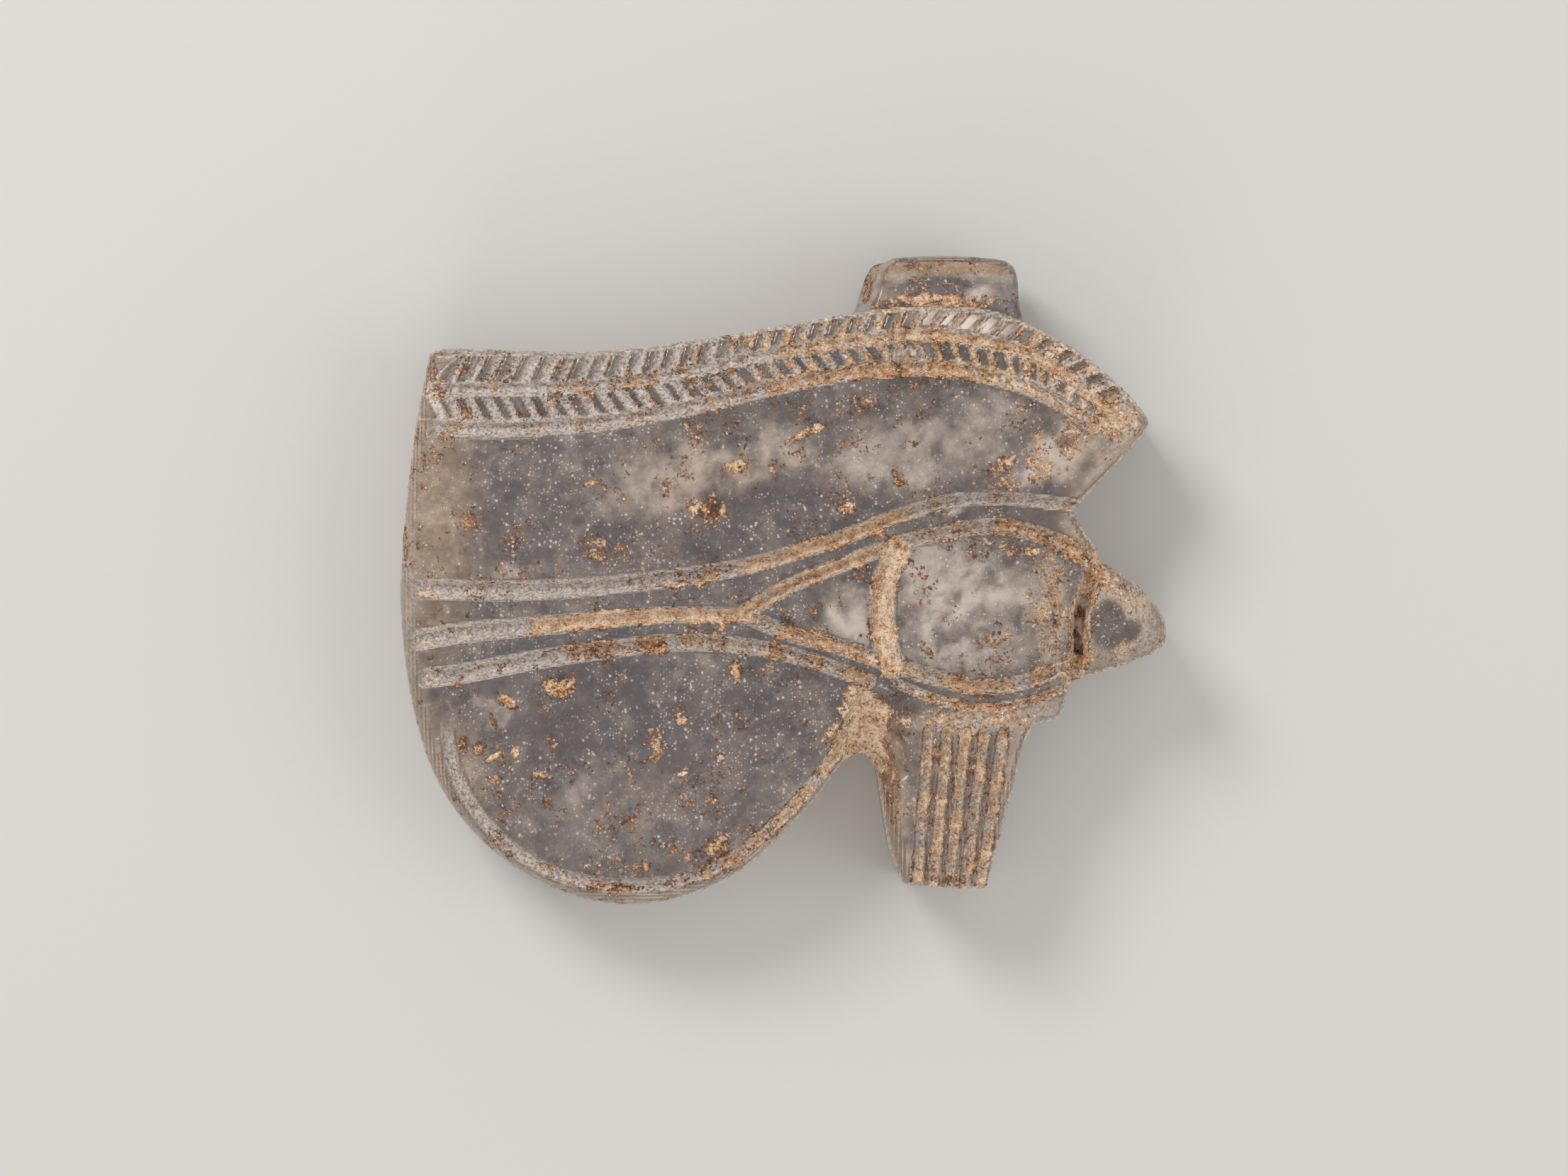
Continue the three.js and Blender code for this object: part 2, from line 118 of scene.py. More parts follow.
# Carved lines: places, width at the start, width at the end, depth, frost
LINES = {
    "band": ([(-46.2, 24.7), (-37.3, 24.8), (-26.2, 25.1), (-18.9, 25.8), (-9.6, 27.5),
              (-0.4, 29.5), (8.9, 30.9), (18.1, 31.8), (25.5, 31), (32, 29.4), (37.5, 25.9),
              (42.9, 21.1)], 0.62, 0.62, 0.45, 0.9),
    "brow": ([(-46.2, 19.8), (-37.3, 19.5), (-26.2, 20.1), (-18.9, 21), (-9.6, 22.9),
              (-0.4, 25.1), (8.9, 26.8), (17.2, 27.5), (23.7, 27), (31.1, 25.2), (36.6, 22.6),
              (40.3, 20)], 0.75, 0.75, 0.5, 0.9),
    "fold": ([(-49, -1), (-37.3, -1.4), (-26.2, -1), (-15.2, 0.1), (-5.9, 1.5), (1.5, 3.5),
              (8.9, 5.9), (16.3, 8.7), (22.7, 10.3), (30.1, 10.4), (37.9, 9.6)],
             0.88, 0.55, 0.6, 1),
    "lid": ([(-4.8, -4.1), (0.6, -0.9), (7, 1.7), (13.5, 4.2), (20, 5.9), (26.9, 6.9),
             (32, 6.2), (36.1, 4.6), (39.6, 2.4)], 0.66, 0.66, 0.55, 0.9),
    "stroke": ([(-49, -8.1), (-42, -6.9), (-33.6, -6.1), (-24.4, -5.3), (-15.2, -4.6),
                (-4.8, -4.6)], 0.9, 0.62, 0.55, 0.9),
    "lower": ([(-4.8, -4.6), (0.6, -6.9), (7, -8.6), (13.5, -10.8), (20, -12.8), (26, -13.9),
               (32, -13), (37.2, -10.9)], 0.66, 0.66, 0.55, 0.8),
    "lash": ([(14.6, -13.3), (19, -15.2), (25, -16.6), (31.1, -15.9), (36.6, -14)],
             0.4, 0.4, 0.3, 0.7),
    "loop": ([(-48.2, -13), (-41, -12), (-31.8, -10.3), (-22.6, -9), (-13.3, -8.1), (-5, -8.6),
              (2.4, -10.1), (11.2, -13.1)], 0.85, 0.6, 0.55, 1),
    "rim": ([(-43.8, -16.1), (-43.5, -20.5), (-42, -26.5), (-36.9, -33.5), (-29.5, -38.3),
             (-20.2, -39.9), (-11.5, -38.5), (-4.1, -34.4), (2.9, -27.7), (7.2, -21.6),
             (10.4, -14.5)], 0.6, 0.6, 0.4, 0.6),
    "iris": ([(15.1, 4), (13.2, -0.2), (12.8, -4.1), (13.2, -8), (14.2, -11.1)],
             1.15, 1.15, 0.65, 0.7),
    "iris_slot": ([(34.8, -1), (35.3, -3.4), (35.2, -5.8)], 0.35, 0.35, 0.25, 0.4),
    "seam": ([(41.1, 2.6), (39.4, -1.8), (38.5, -5.2), (38.5, -9.2), (37.4, -13.4)],
             0.95, 0.95, 0.8, 0.7),
    "seam_slot": ([(39.2, -2.6), (38.5, -5.6), (38.4, -9.2)], 0.5, 0.5, 1.6, 0.4),
}

# Cross sections, as shares of half a cut's width: where the cut, its frost or its crust starts,
# and from where on it is full
CUT = (1.12, 0.35)
CUT_FROST = (1.3, 0.8)
CUT_CRUST = (1.35, 0.65)
HATCH_CUT = (1.2, 0.45)
HATCH_CRUST = (1.1, 0.6)
FLUTE_CUT = (1.2, 0.3)
FLUTE_CRUST = (1.3, 0.7)
SIDE_CRUST = (1.4, 0.6)

# Lines that deepen slowly from their start, and the share of the length that this takes
SOFT_STARTS = {"band": 0.03, "brow": 0.03, "fold": 0.05, "stroke": 0.07, "loop": 0.07, "rim": 0.1}

# Sunk facets: corners, where the floor starts to fall and where it ends, and the two depths
SUNK = {
    "white": ([(-3.4, -4.3), (12.4, -9.8), (12.6, 2.6)], (-3.4, -4.3), (12.5, -4.3), (0, 0.4)),
    "web": ([(7.4, -24.6), (12.8, -24.6), (13.3, -20), (14.2, -15.6), (11.6, -14.4),
             (9.8, -18.5)], (12.5, -15), (11, -24), (1, 2.4)),
    "flank": ([(12.2, -25.1), (16.2, -25.1), (16.6, -19), (14.2, -15.6), (13.2, -20)],
              (16.4, -22), (12.6, -22.5), (0, 1.9)),
}
SUNK_ROUNDS = 26  # how often the sunk facets' edges are evened out

# The loop's side at the web, and the width and depth of its rounding
LOOP_SIDE = [(11.6, -14.4), (9.8, -18.5), (7.8, -23.6)]
LOOP_EDGE = (0.75, 1.7)

# Hatching of the brow band, and the flutes of the tear. The reaches are where a row of cuts
# starts and ends, as shares of the way from the middle line to the row's outer line.
HATCH_PITCH = 0.86
HATCH_WIDTH = 0.46
HATCH_DEPTH = 0.3
HATCH_SLANT = math.radians(27)
UPPER_REACH = (0.2, 0.84)
LOWER_REACH = (0.2, 0.76)
FLUTE_COUNT = 5
FLUTE_WIDTH = 0.55
FLUTE_DEPTH = 0.4
FLUTE_TOP = ((18.9, -19.6), (28.5, -20.1))
FLUTE_FOOT = ((17.4, -40.6), (25.6, -40.8))

# The iris, and how far it bulges
IRIS_CENTRE = (24, -3.6)
IRIS_RADIUS = 10
IRIS_BULGE = 0.16

# Chips of the edges and the face: place, radius and depth
CHIPS = (
    ((-43.4, 30.2), 0.42, 0.5), ((-49.6, 3), 0.5, 0.35), ((-6.5, 32), 0.3, 0.25),
    ((35.5, 31.6), 0.35, 0.35), ((47.6, 19.6), 0.4, 0.3), ((26.4, -40), 0.35, 0.4),
    ((38.4, 8.6), 0.4, 0.4), ((36.4, -18), 0.35, 0.35), ((49.2, -9), 0.4, 0.25),
    ((-20, -42.2), 0.3, 0.2), ((15.6, -39.2), 0.3, 0.3), ((30.9, -24), 0.25, 0.25),
)

# Burial crust along the lines: line, from and to as shares of its length, cover, tone.
# Tone runs from cream at 0 through tan and ochre to dark brown at 1.
CRUST_ALONG = (
    ("band", 0.02, 0.48, 0.34, 0.3), ("band", 0.48, 0.83, 0.66, 0.3),
    ("band", 0.83, 1, 0.5, 0.25), ("brow", 0.02, 0.5, 0.3, 0.3),
    ("brow", 0.5, 0.84, 0.64, 0.4), ("brow", 0.84, 1, 0.4, 0.25),
    ("fold", 0.33, 0.5, 0.4, 0.5), ("fold", 0.49, 0.77, 0.74, 0.24),
    ("fold", 0.77, 1, 0.3, 0.25), ("lid", 0, 0.42, 0.74, 0.25),
    ("lid", 0.42, 0.72, 0.42, 0.3), ("lid", 0.72, 0.97, 0.7, 0.5),
    ("stroke", 0.37, 1, 0.95, 0.3), ("loop", 0.09, 0.3, 0.3, 0.5),
    ("loop", 0.34, 0.49, 0.5, 0.5), ("loop", 0.48, 0.56, 0.75, 0.65),
    ("loop", 0.56, 1, 0.5, 0.4), ("lower", 0, 0.12, 0.5, 0.5),
    ("lower", 0.1, 0.73, 0.66, 0.35), ("lower", 0.73, 1, 0.52, 0.3),
    ("iris", 0, 1, 0.86, 0.24), ("lash", 0.05, 1, 0.62, 0.5), ("rim", 0.05, 0.45, 0.3, 0.35),
    ("rim", 0.45, 0.62, 0.35, 0.5), ("rim", 0.62, 0.93, 0.58, 0.35),
    ("seam", 0, 1, 0.68, 0.45), ("seam_slot", 0, 1, 1.2, 0.86), ("iris_slot", 0, 1, 0.5, 0.6),
)

# Brown lines along the sides of the cuts: line, from, to, side (1 left, -1 right), cover
BROWN_ALONG = (
    ("band", 0.1, 1, 1, 0.42), ("band", 0.1, 1, -1, 0.5), ("brow", 0.15, 0.6, -1, 0.3),
    ("brow", 0.6, 0.85, -1, 0.95), ("brow", 0.45, 0.9, 1, 0.6), ("fold", 0.33, 0.8, -1, 0.8),
    ("fold", 0.55, 0.9, 1, 0.55), ("lid", 0, 1, -1, 0.62), ("lid", 0, 0.95, 1, 0.6),
    ("stroke", 0.3, 1, 1, 0.75), ("stroke", 0.25, 1, -1, 0.75), ("loop", 0.3, 1, 1, 0.85),
    ("loop", 0.5, 0.9, -1, 0.6), ("lower", 0.05, 1, 1, 0.85), ("lower", 0.1, 0.9, -1, 0.6),
    ("iris", 0, 1, 1, 0.55), ("iris", 0, 1, -1, 0.75), ("lash", 0.1, 1, 1, 0.6),
    ("rim", 0.55, 0.95, 1, 0.6), ("rim", 0.45, 0.9, -1, 0.5), ("seam", 0, 1, 1, 0.8),
)

# Crust in patches: centre, half length, half width, turn in degrees, cover, tone
PATCHES = (
    ((-25, 12.4), 1.4, 0.5, 10, 0.65, 0.4), ((-6.6, 14.4), 2.6, 1, 20, 0.62, 0.4),
    ((-9.2, 9), 2.5, 2.6, 0, 0.66, 0.25), ((-9.4, 9.1), 1.5, 1.9, -30, 1.05, 0.9),
    ((3.6, 19.2), 4.9, 0.6, 27, 0.68, 0.55), ((11.2, 23), 1.6, 1.3, 30, 0.6, 0.6),
    ((28.5, 15.1), 2.4, 1.5, 30, 0.58, 0.62), ((8.3, 9.2), 1.2, 0.8, 10, 0.9, 0.7),
    ((14.9, 12.6), 0.8, 0.4, 0, 0.9, 0.7), ((33.8, 15.5), 8, 4.6, 30, 0.36, 0.4),
    ((-22.8, 4), 4.1, 2.2, -8, 0.6, 0.42), ((0.5, -5.4), 1, 0.6, 0, 0.9, 0.8),
    ((-30.1, -13.9), 1.5, 1, -50, 1, 0.6), ((-28.4, -14.2), 1.5, 1.2, 40, 1, 0.6),
    ((-35.7, -15.8), 1.4, 0.7, -35, 1, 0.62), ((-5.9, -11.5), 0.6, 1.8, 0, 0.9, 0.65),
    ((-21.6, -40.1), 4.8, 0.4, 0, 0.95, 0.9), ((-16.3, -20.6), 1.3, 2.3, 20, 0.55, 0.3),
    ((-13.2, -17.7), 0.9, 1.5, 20, 0.7, 0.5), ((-29.2, -21.7), 0.9, 0.8, 0, 0.7, 0.45),
    ((-34.7, -22.3), 0.5, 0.8, 10, 0.9, 0.6), ((-5.1, -27.2), 0.8, 0.6, 0, 0.8, 0.55),
    ((-12, -28.9), 1, 0.8, 0, 0.5, 0.3), ((-8.4, -34.3), 2.2, 1.4, 30, 0.85, 0.62),
    ((-37.1, -25.9), 1, 0.7, 0, 0.6, 0.4), ((-31.5, -25.4), 1.3, 0.6, 10, 0.55, 0.35),
    ((-8.2, -23), 1, 0.5, 0, 0.85, 0.6), ((-13.3, -25), 1.2, 0.7, 10, 0.55, 0.2),
    ((-49.2, 4.5), 0.35, 3, 4, 0.95, 0.9), ((33.9, -4.2), 3.2, 9, 0, 0.4, 0.3),
    ((22.1, -38.9), 2.8, 1, 0, 0.85, 0.7), ((31, -17.2), 5.2, 1.8, 5, 0.45, 0.3),
    ((18.5, -17.9), 5.5, 1.5, 0, 0.45, 0.3), ((20.8, 36.2), 8.6, 1.1, 0, 0.8, 0.42),
    ((18, 38.9), 2.4, 1.1, 0, 0.42, 0.5), ((11.2, 38.3), 0.5, 1.9, -8, 0.95, 0.95),
    ((43.5, 20.5), 3.6, 3, -45, 0.45, 0.3), ((31, 3.6), 3.6, 1.2, -8, 0.45, 0.4),
    ((36.8, 4.2), 2.6, 1.5, -40, 0.75, 0.45), ((9, -15.6), 1.6, 3.2, -20, 0.6, 0.3),
    ((43, -9.2), 5, 1.4, 15, 0.42, 0.3), ((43.5, -0.8), 3.6, 1.1, -38, 0.42, 0.3),
    ((-37.6, -18.2), 0.5, 1.5, 20, 0.9, 0.65), ((-41.6, -21.4), 0.6, 1.3, -10, 0.95, 0.65),
    ((-39.4, -22), 0.7, 0.8, 0, 0.9, 0.65), ((-37.6, -23), 1.9, 0.35, 30, 0.95, 0.65),
    ((6, -20), 0.6, 4, -28, 0.45, 0.3), ((-44, -9.8), 3, 0.5, 5, 0.3, 0.5),
)

# Crust, haze and veils in numbers
BROAD_COVER = 0.16  # cover of crust flecks all over the face
CRUST_FILM = 0.02  # height of the thinnest flecks above the stone, in mm
CRUST_FRINGE = 0.2  # how far below full cover the thin fringe of flecks reaches
MARGIN = (1.5, 0.1)  # where the stained margin starts and is full, from the outline, in mm
EDGE_FROST = (0.22, 0.04)  # the same for the frost of the edge
HAZE_ALL = 0.1  # haze on the open face
VEIL_DEPTHS = (0.7, 1.9)  # depths of the veils below the dome, in mm
VEIL_WAVE = 0.7  # height of the veils' waves, in mm
VEIL_THICKNESS = 0.02
VEIL_ALL = 0.26  # how thick the veils are away from the clouds
FILM = 0.012  # height of the haze and its specks above the stone, in mm
BROWN_WIDTH = 0.07  # how wide the brown lines at the sides of the cuts are, in mm
WEB_COVER = 1.2  # cover of the crust in the sunk web
LOOP_SIDE_COVER = 0.85  # cover of the crust along the loop's side at the web
LOOP_SIDE_HALF = 0.35  # half the width of that crust, in mm
FLANK_AREAS = (((13.6, -25.5), 1.6, 7, 8, 1),)
FLANK_COVER = 0.55  # cover of the crust on the tear's flank
FLUTE_COVER = 0.54  # cover of the crust in the tear's flutes
FROST_DIP = 0.004  # how far the frost's thin edge dips below the stone, in mm
SKIN_ROOT = 0.02  # how deep the frost and the haze are set into the stone, in mm
QUARTZ_IOR = 1.544
SHARP_EDGE = 55  # edges of the stone that turn by more degrees than this look sharp

# Soft areas of the face: centre, half length, half width, turn in degrees, strength.
# CLOUDS_AND_HIGHLIGHTS are milky, and some of them are painted highlights, PAINTED_SHADE_AREAS are
# painted shade, WARM_AREAS and TAN_AREAS are stained, CLEAR_AREAS are bare of haze and frost,
# PAINTED_HIGHLIGHTS are painted highlights kept pale and unstained, and FROST_AREAS are matt outside the
# cuts.
# Some clouds are painted highlights: (25.7, 36.9) is a lamp's reflection on the lug's curved foot,
# (23.8, 33) and (15.6, 29.4) its reflection on the hatched band below the lug, (22.9, 8.5) a glint on
# the ridge between the fold and the lid, and (8.6, -5) the bright triangle of the eye's white.
CLOUDS_AND_HIGHLIGHTS = (
    ((-9.4, 14.2), 15, 3.4, 14, 0.7), ((36.3, 16.5), 5, 3.6, 30, 1.1),
    ((31.3, 12.5), 2.6, 1.6, 20, 1), ((2.3, 16.6), 2.6, 2.2, 20, 0.9),
    ((20.4, 0.5), 4.6, 4.6, 0, 0.9), ((24, -5), 8, 8, 0, 0.95), ((-36.9, 0.9), 4, 1.5, 0, 0.6),
    ((-27.4, 17.5), 0.9, 2.4, 0, 0.4), ((-47.1, 11.8), 0.8, 3.4, 0, 0.7),
    ((8.6, -5), 3.6, 3, -40, 1.1), ((-38.5, -17.5), 2.5, 2, 0, 0.5),
    ((-22, -31), 11, 5, 25, 0.15), ((25.7, 36.9), 2.4, 1.1, -5, 1.5),
    ((23.8, 33), 7, 2.2, -8, 1.5), ((15.6, 29.4), 2.8, 1, 10, 1.3),
    ((22.9, 8.5), 0.9, 0.7, 20, 1.6), ((30, -17), 0.8, 1.3, 0, 0.9),
    ((-24, -26), 9, 1.5, 35, 0.3), ((8, -25), 1, 3.5, -25, 0.4), ((19, 17.5), 14, 5, 12, 0.55),
)
# Painted shade: the stone is coloured darker here, standing in for the dark that shows through clear
# stone.
PAINTED_SHADE_AREAS = (
    ((-27, 9), 12, 6, 0, 0.8), ((-22, -18), 19, 9, 0, 0.85), ((-2, 8), 9, 3, 20, 0.7),
    ((14, 18), 14, 3.5, 8, 0.4), ((0, -20), 7, 5, 0, 0.3), ((19, 38.8), 5, 1.5, 0, 0.5),
    ((-40, -4.3), 6, 1.1, 6, 0.6), ((-30, -8.1), 12, 0.8, 6, 0.8), ((2.8, -3.2), 4, 2, 0, 0.4),
)
WARM_AREAS = (
    ((-46, 10), 6, 22, 0, 0.75), ((42, 18), 7, 7, 0, 0.6), ((44, -5), 7, 8, 0, 0.45),
    ((22, -28), 9, 14, 0, 0.4), ((13.8, -27), 2.6, 9, 8, 1), ((-44, -24), 5, 10, 25, 0.6),
    ((10, 38), 4, 5, 0, 0.6),
)
TAN_AREAS = (
    ((-9, 14), 15, 4.5, 14, 0.75), ((14, 22), 9, 3, 14, 0.6), ((-46, 8), 5, 22, 0, 0.35),
    ((26, 30), 17, 5, -8, 0.85), ((43, 21), 6, 5, -45, 0.7), ((10.5, -20), 5, 7, 0, 0.9),
    ((13.6, -26), 2.6, 8, 8, 1), ((22, -22), 7, 3, 0, 0.6), ((37, -2), 6, 13, 0, 0.7),
    ((20, 35.8), 9, 1.6, 0, 0.8), ((24, -15.5), 9, 2.5, 0, 0.6), ((44.5, -5), 6, 7, 0, 0.6),
    ((25, -18.5), 9, 2, 0, 0.55),
)
CLEAR_AREAS = (
    ((42.2, -5.8), 1.9, 2.6, 0, 0.7), ((44.4, -6.8), 1.7, 1.3, 25, 0.7), ((20, 38), 4, 1.6, 0, 0.9),
)
# Painted highlights: where a lamp's reflection shows on the hatched band below the lug and on the eye's
# white, the face is kept pale and without tan stain.
PAINTED_HIGHLIGHTS = (
    ((23.8, 33.2), 6.6, 1.9, -8, 1), ((15.6, 29.2), 2.8, 0.9, 10, 0.8), ((8.8, -4.6), 3, 3, -40, 0.3),
)
FROST_AREAS = (
    ((44.5, -5), 6.5, 7.5, 0, 0.36), ((34.6, -4), 2.7, 10, 0, 0.33),
    ((23.5, -18.6), 9, 1.9, 0, 0.36), ((33, -17), 4, 2.2, 0, 0.34),
    ((43.5, 20.5), 4, 3.6, -45, 0.4), ((-48.6, 0), 1, 28, 0, 0.3),
)

# The specks: how thick the stone has to be, the least gap to its outline and how far below the
# face and above the back they stay, all in mm; then the corners of an octahedron, and its sides
SPECK_STONE = 3
SPECK_GAP = 0.7
SPECK_SINK = 0.6
SPECK_CORNERS = np.array([(1, 0, 0), (-1, 0, 0), (0, 1, 0), (0, -1, 0), (0, 0, 1), (0, 0, -1)], float)
SPECK_SIDES = np.array([
    (0, 2, 4), (2, 1, 4), (1, 3, 4), (3, 0, 4), (2, 0, 5), (1, 2, 5), (3, 1, 5), (0, 3, 5),
])

# The stage: lights as name, place and size in mm, power in watts and colour; all aim at the stone
LIGHTS = (
    ("key", (-150, 180, 210), 110, 0.4, (1, 0.98, 0.96)),
    ("fill", (210, -60, 160), 170, 0.14, (0.97, 0.98, 1)),
    ("low", (-60, -230, 110), 120, 0.1, (1, 0.98, 0.95)),
)
SKY_COLOUR = (1, 0.98, 0.96, 1)
SKY_STRENGTH = 0.52
FLOOR_REACH = 3000.0  # half the floor's width, in mm
FLOOR_HEIGHT = -0.05  # just below the stone's back, in mm
CAMERA_PLACE = (0.067, -0.383, 209.4)  # in mm: straight above the middle of the stone
CAMERA_LENS = 100
LAYERS_SEEN = 48  # how many see-through layers of haze, crust and veils light may cross
TURNS_SEEN = 8  # how often light may turn on its way
SCATTERS_SEEN = 2  # how often matt surfaces may scatter it on its way

# How everything is worked out
SEED = 11
CHUNK = 4096  # points worked out at a time
FINE_STEP = 0.05  # spacing of the samples of the outline, in mm
LINE_STEP = 0.12  # spacing of the samples of the carved lines, in mm
EDGE_REACH = 12  # how many samples to each side the rounding of the edge is evened out over
LINE_REACH = 1.5  # how far from a carved line its cut, frost and crust reach at most, in mm
MANY_SIDES = 200  # a ring with more sides than this is tested with every fourth place


def linear(red, green, blue):
    """A colour given in display values from 0 to 255, as linear light."""
    shares = [value / 255 for value in (red, green, blue)]
    return tuple(s / 12.92 if s <= 0.04045 else ((s + 0.055) / 1.055) ** 2.4 for s in shares)


def length_setting(name, text, value, least=0.0):
    """A length property in millimetres."""
    return bpy.props.FloatProperty(name=name, description=text, default=value, min=least)


def share_setting(name, text, value):
    """A property from 0 to 1."""
    return bpy.props.FloatProperty(name=name, description=text, default=value, min=0, max=1)


def colour_setting(name, text, value):
    """A colour property, its default given in display values from 0 to 255."""
    return bpy.props.FloatVectorProperty(
        name=name, description=text, subtype="COLOR", size=3, min=0, max=1,
        default=linear(*value),
    )


class AmuletSizes(bpy.types.PropertyGroup):
    """Sizes of the stone's fine surface, of its frost and crust, and of what is sealed in it."""

    step: length_setting("Step", "Spacing of the face's surface points, in mm", 0.1, 0.05)
    crust_height: length_setting("Crust height", "Height of the thickest crust, in mm", 0.06)
    crust_root: length_setting("Crust root", "How deep the crust reaches into the cuts, in mm", 0.05)
    frost_height: length_setting("Frost height", "Height of the frosted film, in mm", 0.014)
    ripple: length_setting("Ripple", "Height of the hand-polished ripples, in mm", 0.03)
    speck_size: length_setting("Speck size", "Widest speck in the stone, in mm", 0.06)
    speck_count: bpy.props.IntProperty(
        name="Specks", description="How many specks are sealed in the stone", default=2600, min=0
    )


class AmuletColours(bpy.types.PropertyGroup):
    """Colours and plain optical values of the stone, its frost and its crust."""

    stone: colour_setting("Stone", "Colour of the clear stone", (231, 222, 220))
    # this colour mottles the stone at random, and is the painted shade where the stone is to look
    # darkest
    smoke_and_shade: colour_setting("Smoke", "Colour of the darkest stone", (184, 177, 183))
    warm: colour_setting("Warm stone", "Colour of the stained margins", (238, 214, 188))
    # this colour is that of milky clouds, pale grains and specks, and of the painted highlights
    cloud_and_highlight: colour_setting("Cloud", "Colour of cloudy stone", (254, 240, 228))
    frost: colour_setting("Frost", "Colour of the frosted ground of the cuts", (218, 207, 199))
    grit: colour_setting("Grit", "Colour between the frost's granules", (178, 166, 158))
    cream: colour_setting("Cream crust", "Palest burial crust", (246, 224, 198))
    ochre: colour_setting("Ochre crust", "Middle tone of the burial crust", (212, 170, 130))
    brown: colour_setting("Brown crust", "Edges of the burial crust", (148, 98, 62))
    dark: colour_setting("Dark crust", "Darkest burial crust", (92, 64, 48))
    floor: colour_setting("Floor", "Colour of the floor", (226, 224, 220))
    clear: share_setting("Clearness", "How much of the light goes through the stone", 0.9)


def sizes():
    """The sizes that are set in the scene."""
    return bpy.context.scene.amulet_sizes


def colours():
    """The colours that are set in the scene."""
    return bpy.context.scene.amulet_colours


def smooth(value, low, high):
    """A smooth rise from 0 at low to 1 at high: three squares less two cubes of the share."""
    share = np.clip((value - low) / (high - low), 0, 1)
    return share * share * (3 - 2 * share)


def between(value, low, high, soft):
    """1 from low to high, with a smooth rise and fall that reach the soft distance to both sides."""
    return smooth(value, low - soft, low + soft) * smooth(value, high + soft, high - soft)


def value_noise(x, y, size, seed):
    """Random heights from 0 to 1 on a square lattice of the given size, with smooth steps between."""
    lattice = np.random.default_rng(seed).random((128, 128))
    u, v = x / size, y / size
    column, row = np.floor(u).astype(int), np.floor(v).astype(int)
    across, up = smooth(u - column, 0, 1), smooth(v - row, 0, 1)
    left, right, low, high = column % 128, (column + 1) % 128, row % 128, (row + 1) % 128
    below = lattice[left, low] * (1 - across) + lattice[right, low] * across
    above = lattice[left, high] * (1 - across) + lattice[right, high] * across
    return below * (1 - up) + above * up


def fractal(x, y, size, octaves, seed):
    """Value noise of several sizes from 0 to 1, each half the last, half as strong and turned."""
    total, weight = 0, 0
    for octave in range(octaves):
        strength = 0.5 ** octave
        cos, sin = math.cos(0.7 + 1.1 * octave), math.sin(0.7 + 1.1 * octave)
        total = total + strength * value_noise(
            x * cos - y * sin, x * sin + y * cos, size * strength, seed + octave
        )
        weight += strength
    return total / weight


def spline(places, step):
    """Even steps along a smooth line through places. Each run is a cubic whose slope at a place is
    half the way from the place before it to the place after it; the end places count twice."""
    spots = np.array(places, float) * HUNDREDTH
    last = len(spots) - 1
    share = np.linspace(0, last, 40 * last + 1)
    run = np.minimum(share.astype(int), last - 1)
    t = (share - run)[:, None]
    start, end = spots[run], spots[run + 1]
    start_slope = (end - spots[np.maximum(run - 1, 0)]) / 2
    end_slope = (spots[np.minimum(run + 2, last)] - start) / 2
    path = (2 * (start - end) + start_slope + end_slope) * t ** 3
    path = path + (3 * (end - start) - 2 * start_slope - end_slope) * t ** 2 + start_slope * t + start
    reach = np.append(0, np.cumsum(np.hypot(*np.diff(path, axis=0).T)))
    even = np.linspace(0, reach[-1], max(3, round(reach[-1] / step)) + 1)
    return np.stack([np.interp(even, reach, path[:, i]) for i in range(2)], 1)


def in_chunks(work, x, y):
    """The results of work on a few thousand points at a time."""
    parts = [slice(start, start + CHUNK) for start in range(0, x.size, CHUNK)]
    return np.concatenate([work(x[part], y[part]) for part in parts])


def closest(x, y, path):
    """The number of the closest sample of a path."""
    def work(px, py):
        return ((px[:, None] - path[:, 0]) ** 2 + (py[:, None] - path[:, 1]) ** 2).argmin(1)
    return in_chunks(work, x, y)


def beside(x, y, path):
    """The distance to a line, positive on its left, and the share of the line's length there: the
    distance from the straight run through the closest sample, or from the line's end past it.
    Points far from the line count as out of its reach."""
    nearby = in_box(x, y, path, LINE_REACH)
    aside, share = np.full(x.shape, float(LENGTH)), np.zeros(x.shape)
    aside[nearby], share[nearby] = from_line(x[nearby], y[nearby], path)
    return aside, share


def in_box(x, y, path, spare):
    """True for points inside a path's box, grown by the spare length."""
    low, high = path.min(0) - spare, path.max(0) + spare
    return (x > low[0]) & (x < high[0]) & (y > low[1]) & (y < high[1])


def from_line(x, y, path):
    """What beside gives, for points near the line."""
    slope = np.gradient(path, axis=0)
    slope /= np.hypot(*slope.T)[:, None]
    near = closest(x, y, path)
    dx, dy = x - path[near, 0], y - path[near, 1]
    ahead = dx * slope[near, 0] + dy * slope[near, 1]
    aside = dy * slope[near, 0] - dx * slope[near, 1]
    step = np.hypot(*(path[1] - path[0]))
    past = np.where(near == 0, np.maximum(-ahead, 0), 0)
    past = np.where(near == len(path) - 1, np.maximum(ahead, 0), past)
    share = np.clip((near * step + np.clip(ahead, -step, step)) / (step * (len(path) - 1)), 0, 1)
    return np.where(aside < 0, -1, 1) * np.hypot(aside, past), share


def within(x, y, ring):
    """True inside a closed ring of places."""
    nearby = in_box(x, y, ring, 0)
    result = np.zeros(x.shape, bool)
    if len(ring) > MANY_SIDES:
        ring = ring[::4]
    if nearby.any():
        result[nearby] = inside_sides(x[nearby], y[nearby], ring, np.roll(ring, -1, 0))
    return result


